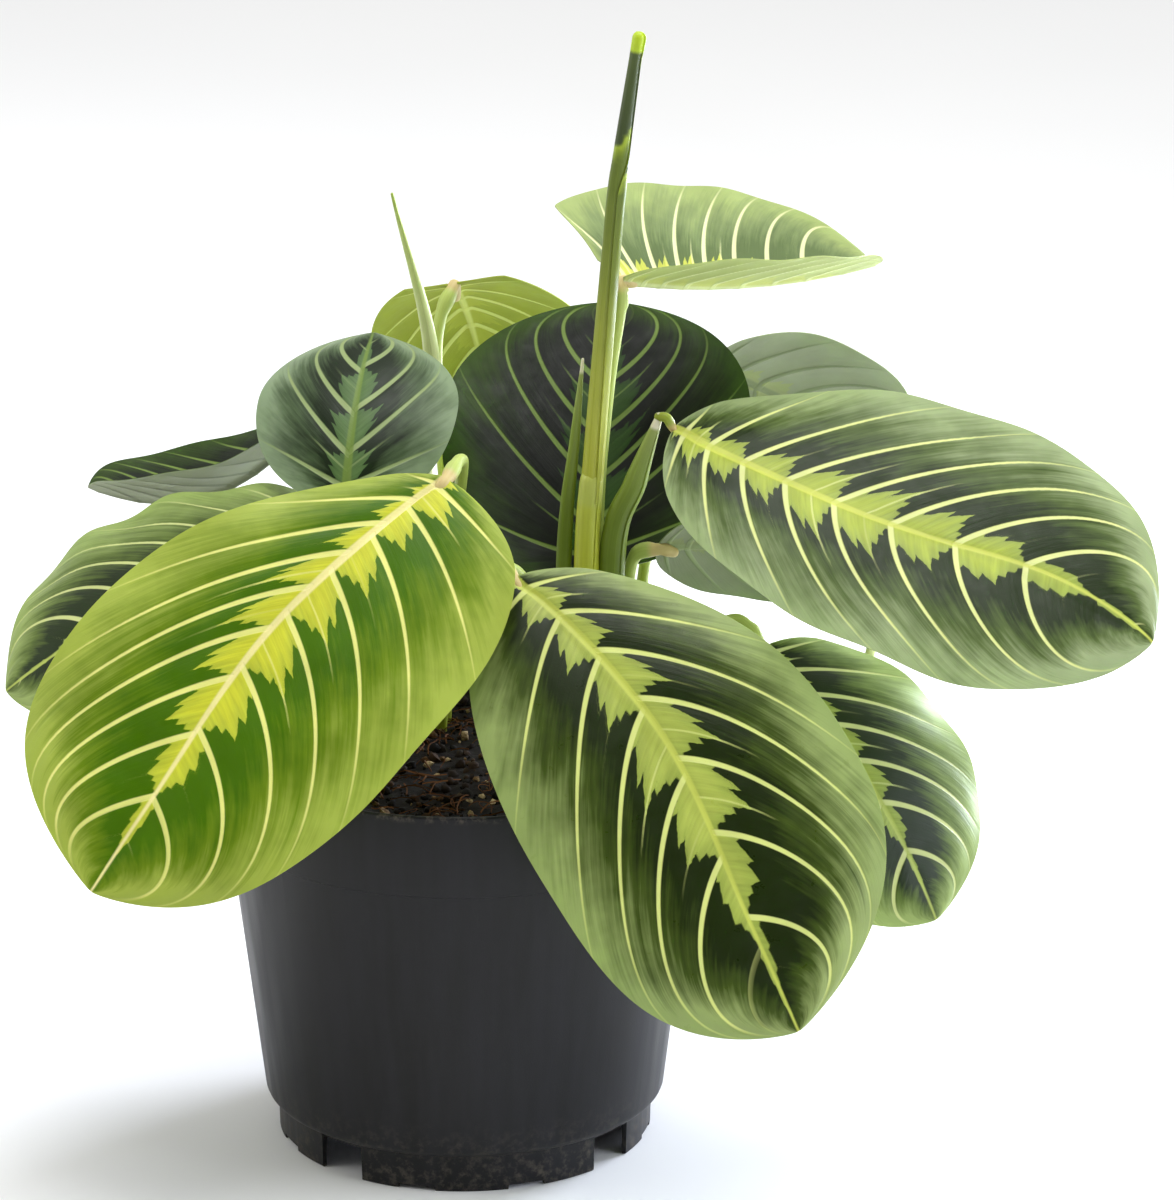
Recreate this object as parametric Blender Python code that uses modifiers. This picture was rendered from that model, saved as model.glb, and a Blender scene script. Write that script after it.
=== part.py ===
"""A young prayer plant (Maranta leuconeura with lime ribs) in a 12 cm nursery pot.

Blender 4.5, metres, +Z up, standing on Z = 0.  The plant's view side faces -Y.
Everything is laid out around the pot's axis in millimetres and carried by one
empty, which then puts the middle of the whole plant's footprint at the origin.
"""
import math

import bmesh
import bpy
from mathutils import Vector

MM = 0.001
GAP = 0.3                      # mm left between touching pieces

# ---- driving dimensions, mm ---------------------------------------------------
POT_HEIGHT = 101.0
LIP_RADIUS = 60.0
BAND_HEIGHT = 21.0             # the plain band below the lip
BAND_OVERHANG = 1.0            # how far the band stands proud of the body
BODY_TOP_RADIUS = 57.2
BODY_FOOT_RADIUS = 48.7
FOOT_HEIGHT = 9.8
FOOT_RADIUS = 45.5
POT_WALL = 1.2
NOTCH_ANGLES = (50.0, 142.0, 230.0, 322.0)   # degrees from +X, middle of each notch
NOTCH_WIDTH = 16.0             # degrees of the foot ring
NOTCH_HEIGHT = FOOT_HEIGHT - POT_WALL - 0.3
TAB_RECESS_DEPTH = 1.0         # shallow steps in the foot's resting edge
TAB_RECESS_WIDTH = 9.0
TAB_RECESS_OFFSETS = (26.0, 60.0)            # degrees on from each notch
CUTTER_DEPTH = 8.0             # through the foot's wall
DRAIN_HOLE_RADIUS = 4.0
HOLE_SIDES = 12
DRAIN_CIRCLE_RADIUS = 30.0
DRAIN_HOLES = 8

SOIL_LEVEL = 93.0
SOIL_GAP = 0.6                 # between the soil and the pot's sloping wall
ROOT_GAP = 1.1                 # from the soil to the middle of a stem's slanting end
BLADE_THICKNESS = 1.0

# middle of the plant's footprint, measured from the pot's axis
FOOTPRINT_MIDDLE = (27.8, 4.8)

ROUND_STEPS = 48
BLADE_CELLS_LONG = 14
BLADE_CELLS_WIDE = 8

# ---- colours: base colour, roughness -------------------------------------------
COLOURS = {
    "pot": ((0.045, 0.045, 0.050), 0.55),
    "soil": ((0.035, 0.022, 0.014), 0.95),
    "blade_lime": ((0.22, 0.36, 0.06), 0.40),
    "blade_dark": ((0.05, 0.12, 0.05), 0.38),
    "blade_grey": ((0.16, 0.24, 0.12), 0.42),
    "stalk": ((0.36, 0.46, 0.12), 0.45),
    "pale_shoot": ((0.52, 0.62, 0.30), 0.45),
}

# Each blade runs from its stalk (base) to its tip.  Lengths are mm from the pot's
# axis and the ground.  half: left and right half width, seen from base to tip.
# bow lifts the middle of the midrib, swing moves it to the right.  roll turns the
# blade about its length, right side up, in degrees.  fold lifts both halves from
# the midrib and sag bends their edges down, per half width.  widest is where along
# the blade each half is widest, full how square its outline is, lobe how far the
# base reaches back past the stalk.
BLADES = {
    "leaf_front_left": dict(
        base=(-3, -25, 173), tip=(-85, -74, 88), half=(43, 39), bow=6, swing=5, roll=42,
        fold=(.1, .1), sag=(.15, .15), widest=(.44, .68), full=(2.5, 3.1), look="blade_lime"),
    "leaf_front_centre": dict(
        base=(13, -34, 151), tip=(79, -86, 58), half=(41, 38), bow=10, swing=-5, roll=-40,
        fold=(.1, .1), sag=(.2, .2), widest=(.6, .55), full=(2.5, 2.5), look="blade_dark"),
    "leaf_right": dict(
        base=(51, -5, 179), tip=(162, -45, 139), half=(41, 34), bow=6, swing=2, roll=-34,
        fold=(.1, .1), sag=(.2, .2), widest=(.62, .52), full=(2.5, 2.5), look="blade_grey"),
    "leaf_back_centre": dict(
        base=(30, 10, 139), tip=(37, 66, 190), half=(38, 37), bow=6, roll=0,
        fold=(.05, .05), widest=(.48, .48), full=(2.3, 2.3), lobe=(.16, .02),
        look="blade_dark"),
    "leaf_upper_right": dict(
        base=(38, 5, 213), tip=(100, 46, 205), half=(27, 24), bow=-3, roll=0,
        fold=(.75, .55), sag=(.05, .05), widest=(.36, .45), lobe=(.24, .03), look="blade_grey"),
    "leaf_left_small": dict(
        base=(-28, 4, 158), tip=(-22, 42, 189), half=(25, 24), bow=6, roll=0,
        sag=(.2, .2), look="blade_dark"),
    "leaf_back_left": dict(
        base=(-3, 60, 196), tip=(6, 98, 152), half=(25, 27), bow=8, roll=14,
        sag=(.15, .15), lobe=(.1, .1), look="blade_lime"),
    "leaf_far_left": dict(
        base=(-43, 42, 162), tip=(-92, 38, 151), half=(18, 20), bow=-9, roll=0,
        fold=(.7, .35), look="blade_dark"),
    "leaf_left_low": dict(
        base=(-21, -4, 151), tip=(-108, -22, 119), half=(32, 38), bow=10, roll=24,
        sag=(.2, .2), full=(2.5, 2.5), look="blade_dark"),
    "leaf_back_right": dict(
        base=(60, 66, 174), tip=(110, 74, 144), half=(26, 23), bow=3, roll=70,
        sag=(.1, .1), look="blade_grey"),
    "leaf_right_inner": dict(
        base=(47, 3, 147), tip=(90, 10, 137), half=(14, 18), bow=4, roll=60,
        sag=(.2, .2), look="blade_grey"),
    "leaf_right_low": dict(
        base=(72, -8, 125), tip=(113, -38, 67), half=(32, 30), bow=8, roll=-20,
        sag=(.2, .2), look="blade_dark"),
}

# Each stalk: its blade, and its route in mm from the soil towards the blade's base.
STALKS = {
    "stalk_front_left": ("leaf_front_left", [
        (-6, 26, 93), (-4, 18, 130), (0, 0, 165), (0, -14, 174)]),
    "stalk_front_centre": ("leaf_front_centre", [
        (25, -4, 93), (22, -12, 125), (15, -23, 147), (11, -29, 152)]),
    "stalk_right": ("leaf_right", [
        (47.6, -3.9, 184.3), (49.2, -4.2, 183.3)]),
    "stalk_back_centre": ("leaf_back_centre", [
        (29, 8, 93), (29, 12, 115), (30, 12, 130)]),
    "stalk_upper_right": ("leaf_upper_right", [
        (33, 5.2, 93), (32.5, 5.2, 150), (35, 5, 185), (38, 4, 207)]),
    "stalk_left_small": ("leaf_left_small", [
        (-13, 26, 93), (-15, 22, 130), (-23, 11, 154)]),
    "stalk_back_left": ("leaf_back_left", [
        (-5, 34, 93), (-4, 44, 130), (-7, 54, 180)]),
    "stalk_far_left": ("leaf_far_left", [
        (-15, 31, 93), (-20, 36, 130), (-34, 41, 158)]),
    "stalk_left_low": ("leaf_left_low", [
        (-12, 21, 93), (-11, 10, 130), (-13, -1, 150)]),
    "stalk_back_right": ("leaf_back_right", [
        (36, 11, 93), (43, 30, 125), (49, 55, 162), (55, 64, 175)]),
    "stalk_right_inner": ("leaf_right_inner", [
        (38.5, 5, 93), (39.5, 5, 125), (41, 3.4, 143.5)]),
    "stalk_right_low": ("leaf_right_low", [
        (33, -5.6, 93), (47, -5, 118), (63, -5, 130.5), (69, -6.2, 129.5)]),
}
STALK_RADIUS = 1.5
JOINT_RADIUS = 1.9             # of the swollen joint under the blade
JOIN_GAP = 2.2                 # from a stalk's end to its blade's base

# Stems, sheaths and the unopened leaves, as tapering rods: route in mm, radii, look.
RODS = {
    "shoot_stem": (
        [(29, 0, 93), (29.4, 0, 120), (30, 0, 150), (30.8, 0, 162)],
        (3.4, 3.3, 3.1, 3.0), "stalk"),
    "leaf_rolled": (
        [(30.8, 0, 162.4), (33, 0, 190), (35.6, 0, 222), (37.4, 0, 240), (42, 0, 273)],
        (2.9, 2.7, 2.5, 2.5, 1.6), "blade_grey"),
    "sheath_left": (
        [(23.4, 1.5, 93), (24.6, 1.5, 148), (27.2, 2.5, 175), (29, 2.5, 194)],
        (1.9, 1.8, 1.2, 0.4), "stalk"),
    "sheath_right": (
        [(36.5, -1, 93), (36, 0, 146), (41.5, -2, 165), (47.2, -4, 182)],
        (2.6, 3.0, 2.6, 0.9), "stalk"),
    "shoot_left": (
        [(-12, 38, 93), (-10, 41, 150), (-8, 42, 184), (-17, 38, 225)],
        (2.0, 2.4, 2.1, 0.5), "pale_shoot"),
    "shoot_right": (
        [(41, 11, 93), (49, 14, 108), (66, 18, 108), (86, 20, 103), (98, 20, 110), (100, 20, 138)],
        (1.7, 1.7, 1.7, 1.7, 1.6, 0.5), "pale_shoot"),
}


def clear_scene():
    for thing in list(bpy.data.objects):
        bpy.data.objects.remove(thing)


def make_collection(name):
    group = bpy.data.collections.new(name)
    bpy.context.scene.collection.children.link(group)
    return group


def paint(thing, look):
    """Give the object its own Principled material."""
    colour, roughness = COLOURS[look]
    material = bpy.data.materials.new(thing.name)
    material.use_nodes = True
    shader = material.node_tree.nodes["Principled BSDF"]
    shader.inputs["Base Color"].default_value = (*colour, 1.0)
    shader.inputs["Roughness"].default_value = roughness
    shader.inputs["Metallic"].default_value = 0.0
    thing.data.materials.append(material)


def add_object(name, data, look, parent, group):
    thing = bpy.data.objects.new(name, data)
    group.objects.link(thing)
    thing.parent = parent
    paint(thing, look)
    return thing


def add_cutter(name, mesh, place, turn, cutters, parent):
    """A cutter with its middle at place, in mm, turned about the upright."""
    thing = bpy.data.objects.new(name, mesh)
    cutters.objects.link(thing)
    thing.parent = parent
    thing.hide_render = True
    thing.display_type = "WIRE"
    thing.location = Vector(place) * MM
    thing.rotation_euler = (0.0, 0.0, turn)


def smooth(mesh, angle=35.0):
    mesh.shade_smooth()
    mesh.set_sharp_from_angle(angle=math.radians(angle))


def turned(name, profile, look, parent, group):
    """A turned piece: a profile of (radius, height) in mm from axis to axis, down its outer side."""
    mesh = bpy.data.meshes.new(name)
    points = [(radius * MM, 0.0, height * MM) for radius, height in profile]
    mesh.from_pydata(points, [(i, i + 1) for i in range(len(points) - 1)], [])
    thing = add_object(name, mesh, look, parent, group)
    screw = thing.modifiers.new("turn", "SCREW")
    screw.steps = ROUND_STEPS
    screw.render_steps = ROUND_STEPS
    screw.use_merge_vertices = True
    screw.merge_threshold = 0.00005
    screw.use_smooth_shade = False
    return thing


# ---- the pot -------------------------------------------------------------------

def pot_profile():
    """The raised floor, the inner side up, over the lip, the outer side down, the foot ring."""
    band_foot = POT_HEIGHT - BAND_HEIGHT
    inner_foot = BODY_FOOT_RADIUS - POT_WALL
    outer = [
        (LIP_RADIUS - 0.5, POT_HEIGHT),
        (LIP_RADIUS, POT_HEIGHT - 0.5),
        (BODY_TOP_RADIUS + BAND_OVERHANG, band_foot + 0.4),
        (BODY_TOP_RADIUS + BAND_OVERHANG - 0.4, band_foot),
        (BODY_TOP_RADIUS, band_foot),
        (BODY_FOOT_RADIUS + 0.2, FOOT_HEIGHT + 2.4),
        (BODY_FOOT_RADIUS - 0.5, FOOT_HEIGHT + 0.8),
        (BODY_FOOT_RADIUS - 2.0, FOOT_HEIGHT),
        (FOOT_RADIUS + 0.3, FOOT_HEIGHT),
        (FOOT_RADIUS, 0.0),
        (FOOT_RADIUS - POT_WALL, 0.0),
        (FOOT_RADIUS - POT_WALL, FOOT_HEIGHT - POT_WALL),
        (0.0, FOOT_HEIGHT - POT_WALL),
    ]
    inner = [
        (0.0, FOOT_HEIGHT),
        (FOOT_RADIUS - 1.2, FOOT_HEIGHT),
        (inner_foot - 0.6, FOOT_HEIGHT + 1.6),
        (inner_foot, FOOT_HEIGHT + 3.0),
        (BODY_TOP_RADIUS - POT_WALL, band_foot),
        (LIP_RADIUS - POT_WALL, POT_HEIGHT - 0.4),
    ]
    return inner + outer


def box_mesh(name, size):
    mesh = bpy.data.meshes.new(name)
    work = bmesh.new()
    bmesh.ops.create_cube(work, size=1.0)
    bmesh.ops.scale(work, vec=Vector(size) * MM, verts=work.verts)
    work.to_mesh(mesh)
    work.free()
    return mesh


def hole_mesh(name, radius, height):
    mesh = bpy.data.meshes.new(name)
    work = bmesh.new()
    bmesh.ops.create_cone(work, cap_ends=True, segments=HOLE_SIDES, radius1=radius * MM,
                          radius2=radius * MM, depth=height * MM)
    work.to_mesh(mesh)
    work.free()
    return mesh


def on_circle(radius, degrees, height):
    angle = math.radians(degrees)
    return (radius * math.cos(angle), radius * math.sin(angle), height)


def make_pot(parent, group, cutters):
    """The moulded pot: banded lip, tapered wall, raised floor with drain holes, notched foot."""
    pot = turned("pot", pot_profile(), "pot", parent, group)
    notch_wide = 2.0 * FOOT_RADIUS * math.sin(math.radians(NOTCH_WIDTH / 2))
    notch = box_mesh("foot_notch", (CUTTER_DEPTH, notch_wide, 2 * NOTCH_HEIGHT))
    recess = box_mesh("tab_recess", (CUTTER_DEPTH, TAB_RECESS_WIDTH, 2 * TAB_RECESS_DEPTH))
    drain = hole_mesh("drain", DRAIN_HOLE_RADIUS, 5 * POT_WALL)
    for index, angle in enumerate(NOTCH_ANGLES, 1):
        add_cutter(f"foot_notch_{index}", notch, on_circle(FOOT_RADIUS, angle, 0.0),
                   math.radians(angle), cutters, parent)
        for side, offset in zip("ab", TAB_RECESS_OFFSETS):
            add_cutter(f"tab_recess_{index}{side}", recess, on_circle(FOOT_RADIUS, angle + offset, 0.0),
                       math.radians(angle + offset), cutters, parent)
    for index in range(DRAIN_HOLES):
        place = on_circle(DRAIN_CIRCLE_RADIUS, 360.0 * index / DRAIN_HOLES, FOOT_HEIGHT)
        add_cutter(f"drain_{index + 1}", drain, place, 0.0, cutters, parent)
    cut = pot.modifiers.new("notches_and_drain_holes", "BOOLEAN")
    cut.operation = "DIFFERENCE"
    cut.operand_type = "COLLECTION"
    cut.collection = cutters


def make_soil(parent, group):
    """The potting mix: one plug that fills the pot to just below the lip."""
    band_foot = POT_HEIGHT - BAND_HEIGHT
    slope = (LIP_RADIUS - BODY_TOP_RADIUS) / BAND_HEIGHT
    wall = BODY_TOP_RADIUS + slope * (SOIL_LEVEL - band_foot) - POT_WALL - SOIL_GAP
    profile = [
        (0.0, SOIL_LEVEL),
        (wall - 4.0, SOIL_LEVEL),
        (wall, SOIL_LEVEL - 1.5),
        (BODY_TOP_RADIUS - POT_WALL - SOIL_GAP, band_foot),
        (BODY_FOOT_RADIUS - POT_WALL - SOIL_GAP, FOOT_HEIGHT + 3.2),
        (BODY_FOOT_RADIUS - POT_WALL - 1.4, FOOT_HEIGHT + 1.8),
        (FOOT_RADIUS - 2.0, FOOT_HEIGHT + GAP),
        (0.0, FOOT_HEIGHT + GAP),
    ]
    turned("soil", profile, "soil", parent, group)


# ---- the leaves ----------------------------------------------------------------

def half_outline(along, widest, full):
    """Half width of a blade, 0 to 1: round at the base, drawn to a point at the tip."""
    place = along ** (math.log(0.5) / math.log(widest))
    round_part = max(1.0 - abs(2.0 * place - 1.0) ** full, 0.0) ** 0.5
    return round_part * (1.0 - along ** 10) ** 0.3


def blade_point(leaf, along, across):
    """A point of the blade's middle layer, along 0 to 1 and across -1 to 1, in mm."""
    base, tip = Vector(leaf["base"]), Vector(leaf["tip"])
    chord = tip - base
    side = chord.cross(Vector((0, 0, 1))).normalized()
    up = side.cross(chord).normalized()
    roll = math.radians(leaf["roll"])
    rolled_side = side * math.cos(roll) + up * math.sin(roll)
    rolled_up = up * math.cos(roll) - side * math.sin(roll)
    half = 0 if across < 0 else 1
    widest = leaf.get("widest", (.52, .52))[half]
    full = leaf.get("full", (2.2, 2.2))[half]
    width = leaf["half"][half] * half_outline(along, widest, full)
    out = abs(across)
    lift = width * (leaf.get("fold", (0, 0))[half] * out - leaf.get("sag", (0, 0))[half] * out * out)
    hump = 4.0 * along * (1.0 - along)
    lobe = leaf.get("lobe", (.02, .02))[half] * min(1.0, 12.0 * along + 0.2)
    back = lobe * out ** 1.5 * (1.0 - along) ** 6
    return (base + chord * (along - back) + rolled_up * (leaf["bow"] * hump + lift)
            + rolled_side * (width * across + leaf.get("swing", 0) * hump))


def make_blade(name, leaf, parent, group):
    """A leaf blade: an open curved sheet from its outline, thickened with Solidify."""
    work = bmesh.new()
    rows = []
    for i in range(BLADE_CELLS_LONG + 1):
        along = 0.004 + 0.992 * (0.5 - 0.5 * math.cos(math.pi * i / BLADE_CELLS_LONG))
        row = []
        for j in range(BLADE_CELLS_WIDE + 1):
            across = 2.0 * j / BLADE_CELLS_WIDE - 1.0
            row.append(work.verts.new(blade_point(leaf, along, across) * MM))
        rows.append(row)
    for lower, upper in zip(rows, rows[1:]):
        for j in range(BLADE_CELLS_WIDE):
            work.faces.new((lower[j], lower[j + 1], upper[j + 1], upper[j]))
    mesh = bpy.data.meshes.new(name)
    work.to_mesh(mesh)
    work.free()
    smooth(mesh)
    blade = add_object(name, mesh, leaf["look"], parent, group)
    skin = blade.modifiers.new("thickness", "SOLIDIFY")
    skin.thickness = BLADE_THICKNESS * MM
    skin.offset = 0.0


def make_rod(name, route, radii, look, parent, group):
    """A stalk, sheath or rolled leaf: a curve through its route, with a tapering bevel."""
    curve = bpy.data.curves.new(name, "CURVE")
    curve.dimensions = "3D"
    curve.bevel_depth = MM
    curve.bevel_resolution = 1
    curve.use_fill_caps = True
    spline = curve.splines.new("POLY")
    points = rounded_route(route, radii)
    spline.points.add(len(points) - 1)
    for point, (place, radius) in zip(spline.points, points):
        point.co = (*(place * MM), 1.0)
        point.radius = radius
    add_object(name, curve, look, parent, group)


def make_stalk(name, leaf_name, route, parent, group):
    """A leaf stalk: up from the soil, swelling into the joint just under its blade's base."""
    base = Vector(BLADES[leaf_name]["base"])
    last = Vector(route[-1])
    end = base - (base - last).normalized() * JOIN_GAP
    radii = [STALK_RADIUS] * len(route) + [JOINT_RADIUS]
    make_rod(name, route + [tuple(end)], radii, "stalk", parent, group)


def rounded_route(route, radii, pieces=4):
    """Points on a smooth curve through the route's own points, with the radius at each."""
    places = [Vector(p) for p in route]
    if places[0].z == SOIL_LEVEL:
        places[0].z += ROOT_GAP
    ahead = [places[0] * 2 - places[1]] + places + [places[-1] * 2 - places[-2]]
    points = []
    for i in range(len(places) - 1):
        a, b, c, d = ahead[i:i + 4]
        for k in range(pieces):
            t = k / pieces
            place = 0.5 * (2 * b + (c - a) * t + (2 * a - 5 * b + 4 * c - d) * t * t
                           + (3 * b - a - 3 * c + d) * t ** 3)
            points.append((place, radii[i] + (radii[i + 1] - radii[i]) * t))
    points.append((places[-1], radii[-1]))
    return points


def main():
    clear_scene()
    plant = make_collection("potted_prayer_plant")
    cutters = make_collection("cutters")
    carrier = bpy.data.objects.new("plant_axis", None)
    plant.objects.link(carrier)
    make_pot(carrier, plant, cutters)
    make_soil(carrier, plant)
    for name, leaf in BLADES.items():
        make_blade(name, leaf, carrier, plant)
    for name, (leaf_name, route) in STALKS.items():
        make_stalk(name, leaf_name, route, carrier, plant)
    for name, (route, radii, look) in RODS.items():
        make_rod(name, route, radii, look, carrier, plant)
    carrier.location = (-FOOTPRINT_MIDDLE[0] * MM, -FOOTPRINT_MIDDLE[1] * MM, 0.0)


main()
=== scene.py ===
"""Looks of a young prayer plant (Maranta leuconeura with lime ribs) in its nursery pot.

The sections follow the plant as it is put together: pot, potting mix, leaves, their
stalks, the tall shoot and the young shoots, and last the studio round them.
"""
import math

import bmesh
import bpy
import numpy as np
from mathutils import Matrix, Vector, noise


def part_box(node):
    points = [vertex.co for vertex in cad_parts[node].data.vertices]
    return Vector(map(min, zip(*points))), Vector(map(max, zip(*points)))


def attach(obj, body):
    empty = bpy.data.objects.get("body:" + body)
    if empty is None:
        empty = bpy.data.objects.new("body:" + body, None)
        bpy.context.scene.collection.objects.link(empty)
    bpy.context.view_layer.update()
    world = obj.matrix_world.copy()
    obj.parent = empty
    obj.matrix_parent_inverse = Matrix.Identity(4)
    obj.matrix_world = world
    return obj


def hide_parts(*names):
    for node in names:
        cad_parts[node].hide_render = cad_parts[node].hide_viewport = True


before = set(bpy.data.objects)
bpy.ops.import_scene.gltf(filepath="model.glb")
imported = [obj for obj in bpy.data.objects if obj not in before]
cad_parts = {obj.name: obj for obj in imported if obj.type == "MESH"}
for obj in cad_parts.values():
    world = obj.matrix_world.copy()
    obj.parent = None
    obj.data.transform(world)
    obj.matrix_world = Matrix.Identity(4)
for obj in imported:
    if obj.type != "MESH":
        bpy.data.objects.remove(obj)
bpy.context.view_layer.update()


# ==== The pot =====================================================================
# A nursery pot, injection moulded in one piece from charcoal polypropylene: a deep plain
# band under the lip, a tapered wall, a raised floor with drain holes, a notched foot ring.
# The whole plant is measured in millimetres from the axis of this pot.

MM = 0.001
pot_low, pot_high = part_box("pot")
POT_AXIS = np.array([(pot_low.x + pot_high.x) / 2, (pot_low.y + pot_high.y) / 2, 0.0])

POT_HEIGHT = pot_high.z / MM
LIP_RADIUS = (pot_high.x - pot_low.x) / 2 / MM
BAND_FOOT = POT_HEIGHT - 21.0          # lower edge of the plain band
BODY_TOP_RADIUS = LIP_RADIUS - 2.8
BODY_FOOT_RADIUS = LIP_RADIUS - 11.3
FOOT_RADIUS = LIP_RADIUS - 14.5
FOOT_HEIGHT = 9.8
POT_WALL = 1.2
NOTCH_ANGLES = (50.0, 142.0, 230.0, 322.0)
NOTCH_HALF_WIDTH = 8.0                 # degrees
NOTCH_HEIGHT = FOOT_HEIGHT - POT_WALL - 0.3
RECESS_OFFSETS = (26.0, 60.0)          # degrees on from a notch to each shallow step
RECESS_HALF_WIDTH = 5.7
RECESS_HEIGHT = 1.0


def in_frame(points):
    """Millimetres from the pot's axis to metres in the frame."""
    return np.asarray(points, float) * MM + POT_AXIS


def linear(code):
    """An sRGB hex colour as linear RGBA."""
    channels = [int(code[i:i + 2], 16) / 255 for i in (1, 3, 5)]
    return (*[c / 12.92 if c <= 0.04045 else ((c + 0.055) / 1.055) ** 2.4 for c in channels], 1.0)


def new_material(name, **constants):
    """An empty node material: its tree and its Principled shader with constant values set."""
    material = bpy.data.materials.new(name)
    material.use_nodes = True
    shader = material.node_tree.nodes["Principled BSDF"]
    for key, value in constants.items():
        shader.inputs[key.replace("_", " ")].default_value = value
    return material, material.node_tree, shader


def add(tree, kind, settings=(), **inputs):
    """Adds one node. settings are its properties; inputs give a socket, by name or by
    in0, in1 and so on, a value, a node (its first output) or another node's socket."""
    made = tree.nodes.new("ShaderNode" + kind)
    for key, value in dict(settings).items():
        setattr(made, key, value)
    for key, value in inputs.items():
        socket = made.inputs[int(key[2:]) if key[2:].isdigit() else key.replace("_", " ")]
        if isinstance(value, bpy.types.Node):
            value = value.outputs[0]
        if isinstance(value, bpy.types.NodeSocket):
            tree.links.new(value, socket)
        else:
            socket.default_value = value
    return made


def set_ramp(ramp, *stops):
    """Gives a colour ramp its stops of (position, hex colour)."""
    elements = ramp.color_ramp.elements
    while len(elements) < len(stops):
        elements.new(1.0)
    for element, (position, code) in zip(elements, stops):
        element.position = position
        element.color = linear(code)


def make_piece(name, points, faces, material, smooth_angle=40.0):
    """A mesh object from points in the frame, riding on the plant's one body."""
    mesh = bpy.data.meshes.new(name)
    mesh.from_pydata(points, [], faces)
    mesh.shade_smooth()
    mesh.set_sharp_from_angle(angle=math.radians(smooth_angle))
    mesh.materials.append(material)
    piece = bpy.data.objects.new(name, mesh)
    bpy.context.scene.collection.objects.link(piece)
    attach(piece, "root")
    return piece


def foot_rise(degrees):
    """How far the foot's lower edge is above the ground at an angle."""
    for notch in NOTCH_ANGLES:
        if abs((degrees - notch + 180.0) % 360.0 - 180.0) < NOTCH_HALF_WIDTH:
            return NOTCH_HEIGHT
        for offset in RECESS_OFFSETS:
            if abs((degrees - notch - offset + 180.0) % 360.0 - 180.0) < RECESS_HALF_WIDTH:
                return RECESS_HEIGHT
    return 0.0


def pot_angles():
    """Every two degrees, and a close pair at each upright edge of the notches and steps."""
    angles = set(np.arange(0.0, 360.0, 2.0))
    for notch in NOTCH_ANGLES:
        for middle, half in [(notch, NOTCH_HALF_WIDTH)] + [
                (notch + o, RECESS_HALF_WIDTH) for o in RECESS_OFFSETS]:
            for edge in (middle - half, middle + half):
                angles |= {(edge - 0.12) % 360.0, (edge + 0.12) % 360.0}
    return sorted(angles)


def turn_profile(profile, angles, rise=None):
    """A turned solid from (radius, height) points: out from the axis, up the inside, down the
    outside and back to the axis. rise lifts the points in the last millimetre, by angle."""
    points, faces, rings = [], [], []
    for radius, height in profile:
        start = len(points)
        if radius == 0.0:
            points.append((0.0, 0.0, height))
            rings.append([start] * len(angles))
            continue
        for degrees in angles:
            turn = math.radians(degrees)
            lift = rise(degrees) if rise and height < 1.0 else 0.0
            points.append((radius * math.cos(turn), radius * math.sin(turn), height + lift))
        rings.append(range(start, start + len(angles)))
    for near, far in zip(rings, rings[1:]):
        for j in range(len(angles)):
            k = (j + 1) % len(angles)
            corners = dict.fromkeys((near[j], far[j], far[k], near[k]))
            faces.append(tuple(corners))
    return points, faces


def pot_profile():
    inner_foot = BODY_FOOT_RADIUS - POT_WALL
    inner = [
        (0.0, FOOT_HEIGHT), (22.0, FOOT_HEIGHT), (38.0, FOOT_HEIGHT), (FOOT_RADIUS - 1.2, FOOT_HEIGHT),
        (inner_foot - 1.4, FOOT_HEIGHT + 0.7), (inner_foot - 0.6, FOOT_HEIGHT + 1.6),
        (inner_foot, FOOT_HEIGHT + 3.0), (BODY_TOP_RADIUS - POT_WALL, BAND_FOOT),
        (LIP_RADIUS - POT_WALL, POT_HEIGHT - 0.45), (LIP_RADIUS - POT_WALL + 0.2, POT_HEIGHT - 0.12),
    ]
    lip = [(LIP_RADIUS - 0.6 + 0.6 * math.sin(t), POT_HEIGHT - 0.6 + 0.6 * math.cos(t))
           for t in np.linspace(0.0, math.pi / 2, 5)]
    band_edge = BODY_TOP_RADIUS + 1.0
    outer = [
        (band_edge, BAND_FOOT + 0.5), (band_edge - 0.1, BAND_FOOT + 0.2), (band_edge - 0.35, BAND_FOOT),
        (BODY_TOP_RADIUS + 0.1, BAND_FOOT - 0.05), (BODY_TOP_RADIUS, BAND_FOOT - 0.4),
    ]
    wall_foot = FOOT_HEIGHT + 2.6
    round_foot = [(BODY_FOOT_RADIUS - 1.9 + 2.1 * math.cos(t), wall_foot - 2.6 * math.sin(t))
                  for t in np.linspace(0.0, math.pi / 2, 6)]
    foot = [
        (FOOT_RADIUS + 0.5, FOOT_HEIGHT), (FOOT_RADIUS + 0.32, FOOT_HEIGHT - 0.3), (FOOT_RADIUS + 0.05, 0.35),
        (FOOT_RADIUS - 0.25, 0.0), (FOOT_RADIUS - POT_WALL + 0.1, 0.0),
        (FOOT_RADIUS - POT_WALL, FOOT_HEIGHT - POT_WALL), (38.0, FOOT_HEIGHT - POT_WALL),
        (22.0, FOOT_HEIGHT - POT_WALL), (0.0, FOOT_HEIGHT - POT_WALL),
    ]
    return inner + lip + outer + round_foot + foot


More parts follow.
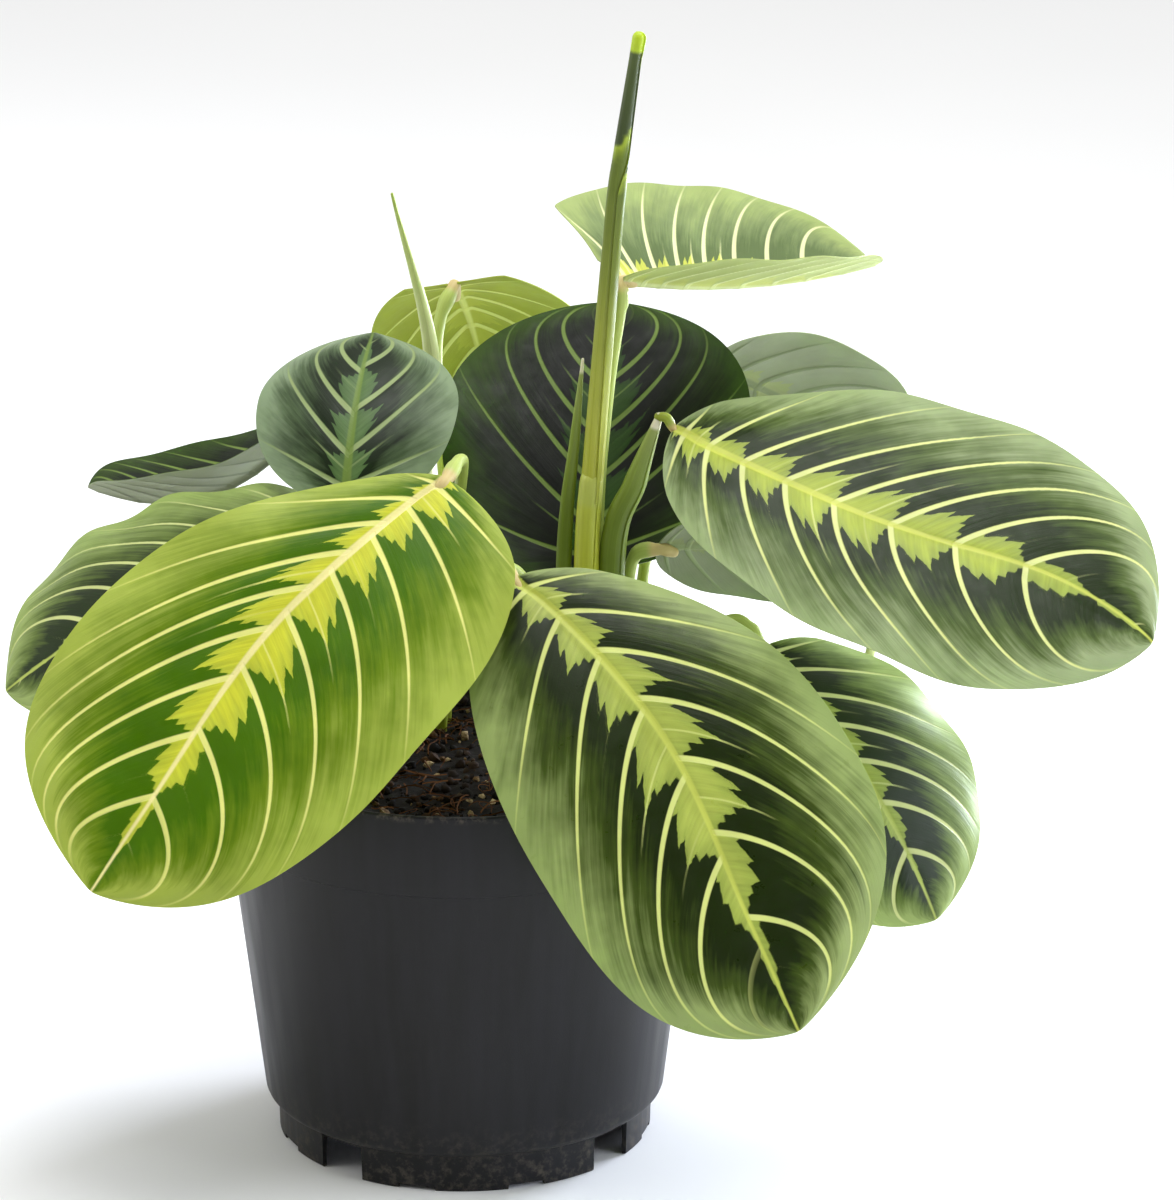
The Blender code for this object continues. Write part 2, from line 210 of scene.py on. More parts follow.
def charcoal_polypropylene():
    """Moulded polypropylene with carbon black: satin, a very fine spark-eroded grain, faint
    upright flow streaks from the mould, and a little dust of potting mix on the lip and foot."""
    material, tree, shader = new_material("charcoal_polypropylene", IOR=1.49, Specular_IOR_Level=0.2)
    place = add(tree, "TexCoord")
    streak_space = add(tree, "Mapping", in0=place.outputs["Object"], Scale=(1.0, 1.0, 0.03))
    # Flow streaks about 5 mm wide, stretched over the height of the wall.
    streaks = add(tree, "TexNoise", Vector=streak_space, Scale=190.0, Detail=2.0, Roughness=0.5)
    dust = add(tree, "TexNoise", Vector=place.outputs["Object"], Scale=420.0, Detail=5.0, Roughness=0.7)
    # Spark-eroded grain, really 0.1 mm, drawn at 0.4 mm so that it shows.
    grain = add(tree, "TexNoise", Vector=place.outputs["Object"], Scale=2600.0, Detail=2.0)
    plastic = add(tree, "ValToRGB", Fac=streaks)
    set_ramp(plastic, (0.32, "#171717"), (0.68, "#202022"))
    height = add(tree, "SeparateXYZ", Vector=place.outputs["Object"])
    near_foot = add(tree, "MapRange", {"interpolation_type": "SMOOTHSTEP"}, Value=height.outputs["Z"],
                    in1=0.0, in2=0.022, in3=0.5, in4=0.0)
    near_lip = add(tree, "MapRange", {"interpolation_type": "SMOOTHSTEP"}, Value=height.outputs["Z"],
                   in1=(POT_HEIGHT - 2.2) * MM, in2=POT_HEIGHT * MM, in3=0.0, in4=0.75)
    dusty = add(tree, "Math", {"operation": "MAXIMUM"}, in0=near_foot, in1=near_lip)
    speckle = add(tree, "MapRange", Value=dust, in1=0.48, in2=0.72)
    amount = add(tree, "Math", {"operation": "MULTIPLY"}, in0=dusty, in1=speckle.outputs[0])
    colour = add(tree, "Mix", {"data_type": "RGBA"}, in0=amount, in6=plastic, in7=linear("#6e665a"))
    tree.links.new(colour.outputs[2], shader.inputs["Base Color"])
    rough = add(tree, "MapRange", Value=streaks, in1=0.3, in2=0.7, in3=0.38, in4=0.52)
    rougher = add(tree, "Math", {"operation": "MULTIPLY_ADD"}, in0=amount, in1=0.4, in2=rough)
    tree.links.new(rougher.outputs[0], shader.inputs["Roughness"])
    bump = add(tree, "Bump", Strength=0.35, Distance=0.00006, Height=grain)
    tree.links.new(bump.outputs[0], shader.inputs["Normal"])
    return material


def drill(piece, holes, radius, depth, height):
    """Cuts upright round holes with their middles at holes, in mm, out of a piece."""
    work = bmesh.new()
    for x, y in holes:
        place = Matrix.Translation(Vector(in_frame((x, y, height))))
        bmesh.ops.create_cone(work, cap_ends=True, segments=40, radius1=radius * MM,
                              radius2=radius * MM, depth=depth * MM, matrix=place)
    mesh = bpy.data.meshes.new("drills")
    work.to_mesh(mesh)
    work.free()
    drills = bpy.data.objects.new("drills", mesh)
    bpy.context.scene.collection.objects.link(drills)
    cut = piece.modifiers.new("holes", "BOOLEAN")
    cut.operation = "DIFFERENCE"
    cut.object = drills
    done = bpy.data.meshes.new_from_object(piece.evaluated_get(bpy.context.evaluated_depsgraph_get()))
    piece.modifiers.clear()
    piece.data = done
    bpy.data.objects.remove(drills)


pot_points, pot_faces = turn_profile(pot_profile(), pot_angles(), foot_rise)
pot = make_piece("nursery_pot", in_frame(pot_points), pot_faces, charcoal_polypropylene(),
                 30.0)
drain_turns = [math.radians(45.0 * i) for i in range(8)]
drill(pot, [(30.0 * math.cos(t), 30.0 * math.sin(t)) for t in drain_turns], 4.0, 6.0, FOOT_HEIGHT)
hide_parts("pot")


# ==== The potting mix =============================================================
# Moist peat with bark crumbs, reddish coir fibres and a few pale grains, filled in loose
# and settled under the lip. The plug keeps the pot's inner shape; crumbs lie on its top.

soil_low, soil_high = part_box("soil")
SOIL_LEVEL = soil_high.z / MM
SOIL_RADIUS = (soil_high.x - soil_low.x) / 2 / MM
CRUMBS = 1500
FIBRES = 230
chance = np.random.default_rng(7)


def soil_height(x, y):
    """The settled surface, in mm: hollows near the middle, a little higher by the wall."""
    rough = noise.fractal(Vector((x * 0.11, y * 0.11, 3.0)), 0.8, 2.1, 4)
    return SOIL_LEVEL - 1.2 + 1.1 * rough + 0.6 * (math.hypot(x, y) / SOIL_RADIUS) ** 2


def soil_plug():
    """The turned plug, its top surface uneven."""
    foot = BODY_FOOT_RADIUS - POT_WALL
    top = [(r * (SOIL_RADIUS - 0.8), SOIL_LEVEL) for r in np.linspace(0.0, 1.0, 30)]
    side = [(SOIL_RADIUS - 0.6, SOIL_LEVEL - 2.5), (BODY_TOP_RADIUS - POT_WALL - 0.6, BAND_FOOT),
            (foot - 0.6, FOOT_HEIGHT + 3.2), (foot - 1.4, FOOT_HEIGHT + 1.8),
            (FOOT_RADIUS - 2.0, FOOT_HEIGHT + 0.3), (0.0, FOOT_HEIGHT + 0.3)]
    points, faces = turn_profile(top + side, np.arange(0.0, 360.0, 3.0))
    raised = [(x, y, soil_height(x, y) if z == SOIL_LEVEL else z) for x, y, z in points]
    return raised, faces


def crumb_shape():
    """A lumpy grain of unit size, as points and faces."""
    work = bmesh.new()
    bmesh.ops.create_icosphere(work, subdivisions=1, radius=1.0)
    points = np.array([v.co[:] for v in work.verts])
    faces = [tuple(v.index for v in f.verts) for f in work.faces]
    work.free()
    return points, faces


def random_turn():
    """A random rotation matrix."""
    matrix, _ = np.linalg.qr(chance.normal(size=(3, 3)))
    return matrix


def scatter_crumbs(points, faces, tints):
    """Adds loose crumbs over the plug's top, many small and few large."""
    grain, grain_faces = crumb_shape()
    for _ in range(CRUMBS):
        radius = (SOIL_RADIUS - 2.2) * math.sqrt(chance.random())
        turn = chance.random() * 2 * math.pi
        x, y = radius * math.cos(turn), radius * math.sin(turn)
        size = 0.45 + 1.5 * chance.random() ** 3
        lumpy = grain * (1.0 + chance.normal(0.0, 0.16, (len(grain), 1)))
        flat = lumpy * (size, size * chance.uniform(0.6, 1.0), size * chance.uniform(0.45, 0.9))
        middle = (x, y, soil_height(x, y) + size * chance.uniform(-0.1, 0.45))
        start = len(points)
        points.extend(map(tuple, flat @ random_turn().T + middle))
        faces.extend(tuple(start + i for i in face) for face in grain_faces)
        tints.extend([chance.random()] * len(grain_faces))


def scatter_fibres(points, faces, tints):
    """Adds coir fibres that lie and loop on the crumbs."""
    for _ in range(FIBRES):
        radius = (SOIL_RADIUS - 12.0) * math.sqrt(chance.random())
        turn, heading = chance.random(2) * 2 * math.pi
        x, y = radius * math.cos(turn), radius * math.sin(turn)
        length, bend = chance.uniform(5.0, 15.0), chance.normal(0.0, 0.35)
        thick, arch = chance.uniform(0.1, 0.22), chance.uniform(0.2, 1.6)
        start = len(points)
        steps = 9
        for k in range(steps):
            along = k / (steps - 1)
            heading += bend / 2
            x += math.cos(heading) * length / steps
            y += math.sin(heading) * length / steps
            z = soil_height(x, y) + 0.7 + arch * 4 * along * (1 - along)
            across = (-math.sin(heading), math.cos(heading))
            for side in range(3):
                a = 2 * math.pi * side / 3
                points.append((x + across[0] * thick * math.cos(a), y + across[1] * thick * math.cos(a),
                               z + thick * math.sin(a)))
        for k in range(steps - 1):
            for side in range(3):
                a, b = start + 3 * k + side, start + 3 * k + (side + 1) % 3
                faces.append((a, b, b + 3, a + 3))
        faces.extend([(start + 2, start + 1, start), tuple(start + 3 * (steps - 1) + i for i in range(3))])
        tints.extend([1.2 + 0.3 * chance.random()] * (3 * (steps - 1) + 2))


def moist_potting_mix():
    """Peat and bark: near black where moist, warm brown where dry, red-brown coir fibres and a
    few pale mineral grains. Fully rough."""
    material, tree, shader = new_material("moist_potting_mix", IOR=1.4, Specular_IOR_Level=0.25)
    tint = add(tree, "Attribute", {"attribute_name": "tint"})
    place = add(tree, "TexCoord")
    # Peat crumb structure, about 1 mm.
    mottle = add(tree, "TexNoise", Vector=place.outputs["Object"], Scale=900.0, Detail=6.0, Roughness=0.7)
    shifted = add(tree, "Math", {"operation": "MULTIPLY_ADD"}, in0=mottle, in1=0.3, in2=-0.15)
    value = add(tree, "Math", {"operation": "ADD"}, in0=tint.outputs["Fac"], in1=shifted)
    halved = add(tree, "Math", {"operation": "DIVIDE"}, in0=value, in1=1.5)
    colour = add(tree, "ValToRGB", Fac=halved)
    set_ramp(colour, (0.0, "#080604"), (0.22, "#110b06"), (0.42, "#1f140a"), (0.56, "#33210f"),
             (0.615, "#5a4329"), (0.66, "#a08c68"), (0.72, "#3f2410"), (1.0, "#5e3a1c"))
    tree.links.new(colour.outputs[0], shader.inputs["Base Color"])
    rough = add(tree, "MapRange", Value=mottle, in1=0.3, in2=0.7, in3=0.7, in4=0.98)
    tree.links.new(rough.outputs[0], shader.inputs["Roughness"])
    bump = add(tree, "Bump", Strength=0.8, Distance=0.0003, Height=mottle)
    tree.links.new(bump.outputs[0], shader.inputs["Normal"])
    return material


soil_points, soil_faces = soil_plug()
soil_tints = [0.25] * len(soil_faces)
scatter_crumbs(soil_points, soil_faces, soil_tints)
scatter_fibres(soil_points, soil_faces, soil_tints)
soil = make_piece("potting_mix", in_frame(soil_points), soil_faces, moist_potting_mix(), 60.0)
tint_layer = soil.data.attributes.new("tint", "FLOAT", "FACE")
tint_layer.data.foreach_set("value", soil_tints)
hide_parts("soil")


# ==== The leaves: shape ===========================================================
# Each blade is one thin sheet, less than half a millimetre thick, that grew rolled up and
# opened flat: it bows along its midrib, sags to its margins and quilts between its veins.
# base, tip, half widths, bow, swing, roll, fold, sag, widest, full and lobe shape it.
# rib is how far the midrib runs off the middle at base and tip, veins how many side veins
# each half has, sweep and curl how far they run on along the blade, reach the lime lobes.

LEAVES = {
    "leaf_front_left": dict(
        base=(-3, -25, 173), tip=(-85, -74, 88), half=(43, 39), bow=6, swing=5, roll=42,
        fold=(.1, .1), sag=(.15, .15), widest=(.44, .68), full=(2.5, 3.1), look="lime",
        rib=(.06, -.03), veins=(9.0, 10.2), sweep=(.45, .5), curl=(2.6, 2.2), slant=(.16, .34),
        reach=(.27, .27),
        ripple=(.9, 3.0, .4)),
    "leaf_front_centre": dict(
        base=(13, -34, 151), tip=(79, -86, 58), half=(41, 38), bow=10, swing=-5, roll=-40,
        fold=(.1, .1), sag=(.2, .2), widest=(.6, .55), full=(2.5, 2.5), look="deep",
        rib=(-.10, .02), veins=(8.0, 7.6), sweep=(.6, .7), curl=(2.3, 2.2), slant=(.2, .2),
        reach=(.27, .27),
        ripple=(.8, 2.6, 2.0)),
    "leaf_right": dict(
        base=(51, -5, 179), tip=(162, -45, 139), half=(41, 34), bow=6, swing=2, roll=-34,
        fold=(.1, .1), sag=(.2, .2), widest=(.62, .52), full=(2.5, 2.5), look="silver",
        rib=(.08, -.12), veins=(9.6, 9.6), sweep=(.36, .42), curl=(1.8, 2.4), slant=(.22, .12),
        reach=(.25, .33),
        ripple=(.9, 3.4, 1.0)),
    "leaf_back_centre": dict(
        base=(30, 10, 139), tip=(37, 66, 190), half=(38, 37), bow=6, roll=0,
        fold=(.05, .05), widest=(.48, .48), full=(2.3, 2.3), lobe=(.16, .02), look="shade",
        veins=(6.4, 6.4), sweep=(.75, .75), curl=(1.9, 1.9), slant=(.4, .4), reach=(.26, .34),
        ripple=(.7, 2.2, .3)),
    "leaf_upper_right": dict(
        base=(38, 5, 213), tip=(100, 46, 205), half=(27, 24), bow=-3, roll=0,
        fold=(.75, .55), sag=(.05, .05), widest=(.36, .45), lobe=(.24, .03), look="young",
        veins=(9.6, 9.6), sweep=(.3, .3), curl=(2.0, 2.0), slant=(.1, .1), reach=(.26, .3),
        ripple=(.35, 3.4, 1.4)),
    "leaf_left_small": dict(
        base=(-28, 4, 158), tip=(-22, 42, 189), half=(25, 24), bow=6, roll=0,
        sag=(.2, .2), look="misty", veins=(4.8, 4.6), sweep=(.75, .75), curl=(1.9, 1.9), slant=(.4, .4),
        reach=(.26, .28), ripple=(.5, 2.0, 1.2)),
    "leaf_back_left": dict(
        base=(-3, 60, 196), tip=(6, 98, 152), half=(25, 27), bow=8, roll=14,
        sag=(.15, .15), lobe=(.1, .1), look="glow", veins=(7.6, 7.6), sweep=.4, slant=.4,
        ripple=(.6, 2.0, .1)),
    "leaf_far_left": dict(
        base=(-43, 42, 162), tip=(-92, 38, 151), half=(18, 20), bow=-9, roll=0,
        fold=(.7, .35), look="shade", veins=(8.0, 8.0), sweep=.4, slant=.3, reach=.02, ripple=(.5, 2.0, .6)),
    "leaf_left_low": dict(
        base=(-21, -4, 151), tip=(-108, -22, 119), half=(32, 38), bow=10, roll=24,
        sag=(.2, .2), full=(2.5, 2.5), look="meadow", veins=(9.6, 9.6), sweep=.5, slant=.2,
        ripple=(1.3, 4.2, 1.6)),
    "leaf_back_right": dict(
        base=(60, 66, 174), tip=(110, 74, 144), half=(26, 23), bow=3, roll=70,
        sag=(.1, .1), look="silver", veins=(7.0, 7.0), ripple=(.6, 2.0, 2.9)),
    "leaf_right_inner": dict(
        base=(47, 3, 147), tip=(90, 10, 137), half=(14, 18), bow=4, roll=60,
        sag=(.2, .2), look="meadow", veins=(6.0, 6.0), ripple=(.4, 2.0, .8)),
    "leaf_right_low": dict(
        base=(72, -8, 125), tip=(113, -38, 67), half=(32, 30), bow=8, roll=-20,
        sag=(.2, .2), look="meadow", veins=(8.0, 8.0), sweep=.4, curl=1.8, slant=.2, reach=.16,
        ripple=(.9, 3.2, 2.2)),
}
CELLS_LONG = 150
CELLS_WIDE = 34                        # in each half
BLADE_THICK = 0.42
RIM_THICK = 0.24
RIB_PROUD = 0.9                        # how far the midrib stands out under the base
QUILT = 0.35                           # how far the blade rises between its side veins


def both(value):
    """A value for each half of a blade, or one value for both."""
    return value if isinstance(value, tuple) else (value, value)


def smooth_step(low, high, value):
    part = np.clip((value - low) / (high - low), 0.0, 1.0)
    return part * part * (3.0 - 2.0 * part)


def half_outline(along, widest, full):
    """Half width of a blade, 0 to 1: round at the base, drawn to a point at the tip."""
    place = along ** (math.log(0.5) / math.log(widest))
    round_part = np.maximum(1.0 - np.abs(2.0 * place - 1.0) ** full, 0.0) ** 0.5
    return round_part * (1.0 - along ** 10) ** 0.3


def blade_axes(leaf):
    """A blade's base, chord, and its right side and upper side once rolled."""
    base, tip = np.array(leaf["base"], float), np.array(leaf["tip"], float)
    chord = tip - base
    side = np.cross(chord, (0, 0, 1))
    side /= np.linalg.norm(side)
    up = np.cross(side, chord)
    up /= np.linalg.norm(up)
    roll = math.radians(leaf["roll"])
    return (base, chord, side * math.cos(roll) + up * math.sin(roll),
            up * math.cos(roll) - side * math.sin(roll))


def blade_middle(leaf, along, across):
    """Points of a blade's middle layer, in mm, and the half width there. along is 0 to 1 from
    base to tip, across -1 to 1 from the left margin to the right one."""
    base, chord, right, up = blade_axes(leaf)
    out = np.abs(across)

    def pick(key, default):
        left_value, right_value = both(leaf.get(key, default))
        return np.where(across < 0, left_value, right_value)

    wide = [half * half_outline(along, widest, full) for half, widest, full
            in zip(leaf["half"], both(leaf.get("widest", .52)), both(leaf.get("full", 2.2)))]
    width = np.where(across < 0, wide[0], wide[1])
    size, waves, start = leaf["ripple"]
    ripple = size * np.sin(2 * math.pi * waves * along + start + 1.3 * (across > 0)) * out ** 4
    ripple *= np.minimum(1.0, width / 12.0)
    lift = width * (pick("fold", 0.0) * out - pick("sag", 0.0) * out ** 2) + ripple
    hump = 4.0 * along * (1.0 - along)
    lobe = pick("lobe", .02) * np.minimum(1.0, 12.0 * along + 0.2)
    back = lobe * out ** 1.5 * (1.0 - along) ** 6
    points = (base + chord * (along - back)[..., None] + up * (leaf["bow"] * hump + lift)[..., None]
              + right * (width * across + leaf.get("swing", 0) * hump)[..., None])
    return points, width


def vein_phase(leaf, half, along, out):
    """Counts a half blade's side veins: whole numbers lie on veins. A vein leaves the midrib
    at its origin, at a slant, and bends towards the tip the further out it gets. Also returns
    how strong the veins are, because those that start close to the tip don't show."""
    widest, full = both(leaf.get("widest", .52))[half], both(leaf.get("full", 2.2))[half]
    slant = both(leaf.get("slant", .16))[half] * out * half_outline(along, widest, full)
    run_on = both(leaf.get("sweep", .6))[half] * out ** both(leaf.get("curl", 2.2))[half]
    low, high = np.zeros_like(along), along.copy()
    for _ in range(24):
        origin = (low + high) / 2
        lands = origin + slant * np.tanh(8.0 * origin) + run_on * np.tanh(2.4 * origin) * (1.0 - 0.6 * origin)
        low = np.where(lands < along, origin, low)
        high = np.where(lands < along, high, origin)
    strength = smooth_step(0.86, 0.78, origin) * smooth_step(1.0, 0.93, along)
    return leaf["veins"][half] * origin ** (1 / 1.5) - 0.75, strength


def blade_grid(leaf):
    """The blade's grid: along, out from the midrib (-1 to 1) and across, with more columns
    near the midrib."""
    rows = np.linspace(0.0, 1.0, CELLS_LONG + 1)
    rows = 0.0008 + 0.9984 * (0.35 * rows + 0.65 * (0.5 - 0.5 * np.cos(math.pi * rows)))
    columns = np.linspace(-1.0, 1.0, 2 * CELLS_WIDE + 1)
    columns = np.sign(columns) * np.abs(columns) ** 1.3
    along, out = np.meshgrid(rows, columns, indexing="ij")
    start, end = leaf.get("rib", (0, 0))
    rib = start + (end - start) * smooth_step(0.35, 0.85, along)
    rib *= smooth_step(0.0, 0.06, along)
    across = np.where(out < 0, rib + (1.0 + rib) * out, rib + (1.0 - rib) * out)
    return along, out, across


def normals_of(points):
    """Unit normals of a grid of points, on the upper side."""
    down_rows = np.gradient(points, axis=0)
    over_columns = np.gradient(points, axis=1)
    normal = np.cross(over_columns, down_rows)
    return normal / np.maximum(np.linalg.norm(normal, axis=-1, keepdims=True), 1e-12)


def spacing_of(points, phase):
    """Millimetres from one side vein to the next, at each point of the grid."""
    rows, columns = np.gradient(points, axis=0), np.gradient(points, axis=1)
    a, b, c = (rows ** 2).sum(-1), (rows * columns).sum(-1), (columns ** 2).sum(-1)
    p, q = np.gradient(phase, axis=0), np.gradient(phase, axis=1)
    steep = (c * p * p - 2 * b * p * q + a * q * q) / np.maximum(a * c - b * b, 1e-9)
    return np.clip(1.0 / np.sqrt(np.maximum(steep, 1e-9)), 1.0, 30.0)


def build_blade(name, leaf, material):
    """One leaf blade: upper and lower face from one grid, joined round the rim."""
    along, out, across = blade_grid(leaf)
    middle, width = blade_middle(leaf, along, across)
    phases, strengths = zip(*[vein_phase(leaf, half, along, np.abs(out)) for half in (0, 1)])
    phase = np.where(out < 0, phases[0], phases[1])
    reach_full = (1 - 0.85 * smooth_step(0.5, 0.94, along)) * (1 + 0.5 * smooth_step(0.16, 0.02, along))
    reaches = [value * reach_full for value in both(leaf.get("reach", .25))]
    pitches = [spacing_of(middle, one) for one in phases]
    from_rib = np.abs(out) * width

    up = normals_of(middle)
    between = np.abs(np.sin(math.pi * phase)) ** 0.7
    quilt = QUILT * (between - 0.6) * smooth_step(0.02, 0.2, np.abs(out)) * smooth_step(1.0, 0.8, np.abs(out))
    quilt *= np.minimum(1.0, width / 15.0)
    groove = -0.35 * np.exp(-(from_rib / 0.9) ** 2) * (1.0 - 0.8 * along)
    face = middle + up * (quilt + groove)[..., None]
    thick = BLADE_THICK + (RIM_THICK - BLADE_THICK) * smooth_step(0.6, 1.0, np.abs(out))
    rib = RIB_PROUD * (1.0 - along) ** 0.6 * np.exp(-(from_rib / (1.3 - 0.8 * along)) ** 2)
    vein_ridge = 0.14 * (1.0 - between) ** 2 * smooth_step(1.0, 0.5, np.abs(out))
    top = face + up * (thick / 2)[..., None]
    bottom = face - up * (thick / 2 + rib + vein_ridge)[..., None]

    count_rows, count_columns = along.shape
    number = np.arange(along.size).reshape(along.shape)
    under = number + along.size
    faces, halves, strips = [], [], []
    for i in range(count_rows - 1):
        for j in range(count_columns - 1):
            a, b, c, d = number[i, j], number[i, j + 1], number[i + 1, j + 1], number[i + 1, j]
            faces += [(a, b, c, d), (d + along.size, c + along.size, b + along.size, a + along.size)]
            halves += [int(j >= CELLS_WIDE)] * 2
            strips += [0, 0]
        last = count_columns - 1
        faces.append((number[i, 0], number[i + 1, 0], under[i + 1, 0], under[i, 0]))
        faces.append((number[i, last], under[i, last], under[i + 1, last], number[i + 1, last]))
        halves += [0, 1]
        strips += [1, 2]
    for j in range(count_columns - 1):
        faces.append((number[0, j], under[0, j], under[0, j + 1], number[0, j + 1]))
        faces.append((number[-1, j], number[-1, j + 1], under[-1, j + 1], under[-1, j]))
        halves += [int(j >= CELLS_WIDE)] * 2
        strips += [3, 4]
    points = np.concatenate([top.reshape(-1, 3), bottom.reshape(-1, 3)])
    blade = make_piece(name, in_frame(points), faces, material, 60.0)

    # What the pattern needs, on face corners, because the two halves count their own veins.
    mesh = blade.data
    corner = np.empty(len(mesh.loops), np.int32)
    mesh.loops.foreach_get("vertex_index", corner)
    half = np.repeat(halves, 4)
    flat = corner % along.size

    def of_half(pair):
        return np.where(half == 0, pair[0].ravel()[flat], pair[1].ravel()[flat])

    def store(layer_name, values):
        layer = mesh.attributes.new(layer_name, "FLOAT_VECTOR", "CORNER")
        layer.data.foreach_set("vector", np.stack(values, axis=-1).ravel())

    distance_out = np.abs(out).ravel()[flat]
    sign = np.where(half == 0, -1.0, 1.0)
    store("veins", (of_half(phases), distance_out, sign))
    store("lobes", (of_half(reaches), of_half(pitches), from_rib.ravel()[flat]))
    store("place", (along.ravel()[flat], (corner >= along.size).astype(float), of_half(strengths)))
    lay_out(mesh, along.ravel()[flat], out.ravel()[flat], corner >= along.size, np.repeat(strips, 4))
    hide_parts(name)
    return blade


def lay_out(mesh, along, out, under, strip):
    """The blade's UV map: upper face on the left, lower face on the right, and the four sides
    of its rim (strip 1 to 4: left, right, base, tip) as narrow bands between and above them."""
    u = 0.24 + 0.22 * out + 0.5 * under
    v = 0.02 + 0.95 * along
    for number, start in ((1, 0.47), (2, 0.49)):
        u = np.where(strip == number, start + 0.008 * under, u)
    for number, start in ((3, 0.975), (4, 0.988)):
        u = np.where(strip == number, 0.24 + 0.22 * out, u)
        v = np.where(strip == number, start + 0.008 * under, v)
    layer = mesh.uv_layers.new(name="OFBake")
    layer.data.foreach_set("uv", np.stack([u, v], axis=-1).ravel())


# ==== The leaves: finish ==========================================================
# A satin leaf with a thin wax layer. Lime lobes with toothed edges lie along the midrib, one
# between each pair of side veins, and pale veins sweep out of them. Beyond the lobes the
# blade is darkest, and it fades to a greyer green, striped by fine veins, at the margin. In
# two looks that grey is partly painted sheen, one look is darkened with painted shade, and
# one is brightened with painted light shining through it from behind.
# The lower face is matt grey-green, and the pattern only shines through it.

LOOKS = {
    "lime": dict(dark="#426800", green="#657f14", rim="#9cab46", lobe="#c6c836", lobe_rim="#b4bc3a",
                 vein="#dfdf80", rib="#efe4a0", under="#a9b568", under_vein="#c9cf86", satin=.36),
    "deep": dict(dark="#1b2607", green="#3d4c18", rim="#8b9a5c", lobe="#a2ad4e", lobe_rim="#919f46",
                 vein="#cbd27c", rib="#bcc458", under="#8c9a72", under_vein="#a9b487", satin=.32),
    # Painted sheen: this look's grey-green, greyest towards the margins, paints light glancing off the wax,
    # over the leaf's own lighter margin.
    "silver": dict(dark="#1c2a06", green="#4e5f2c", rim="#93a074", lobe="#a2ae42", lobe_rim="#92a048",
                   vein="#d2d68c", rib="#c4ca5c", under="#949b80", under_vein="#7f8a68", satin=.34),
    # Painted shade: near-black greens, the leaf's own dark green darkened further for leaves that lie in
    # shade.
    "shade": dict(dark="#070c03", green="#121c06", rim="#2c3f0c", lobe="#2c4714", lobe_rim="#243c10",
                  vein="#6a7f3c", rib="#5f7c2a", under="#8f967c", under_vein="#7c836a", satin=.5),
    "young": dict(dark="#5f7044", green="#7a8a58", rim="#9aa868", lobe="#cdd05c", lobe_rim="#c0c658",
                  vein="#e6e6ac", rib="#e6d6a4", under="#aebb74", under_vein="#cdd79a", satin=.36),
    # Painted sheen: the whole look is greyed to paint grazing light on the wax, over the leaf's own greens.
    "misty": dict(dark="#18240f", green="#47583a", rim="#7f9070", lobe="#567040", lobe_rim="#4c663a",
                  vein="#8f9f6a", rib="#6f863c", under="#9a9d88", under_vein="#85897a", satin=.36),
    # Painted light: a bright yellow-green look, the lower face most of all, that paints light shining through
    # the blade from behind.
    "glow": dict(dark="#6c8018", green="#84962a", rim="#9ba83c", lobe="#b8bf40", lobe_rim="#aab23a",
                 vein="#d0d480", rib="#8f8a2a", under="#94a032", under_vein="#c6d070", satin=.42),
    "meadow": dict(dark="#1c2a08", green="#56682a", rim="#8a9c58", lobe="#98a64a", lobe_rim="#8a9a44",
                   vein="#bbc27e", rib="#a9b558", under="#8a9276", under_vein="#93a078", satin=.36),
}

# The toothed outer edge of a lobe, from one side vein (0) to the next one towards the tip (1),
# as parts of its reach: two small teeth, the long middle tooth, then back in steps.
LOBE_EDGE = ((0.0, .16), (.05, .62), (.11, .50), (.31, .88), (.36, .64), (.55, 1.0), (.62, .60),
             (.71, .62), (.76, .36), (.85, .34), (.90, .17), (1.0, .12))
MIDDLE_TOOTH = 0.55
LOBE_EDGE_SCALE = 0.8                  # keeps the curve's values under 1


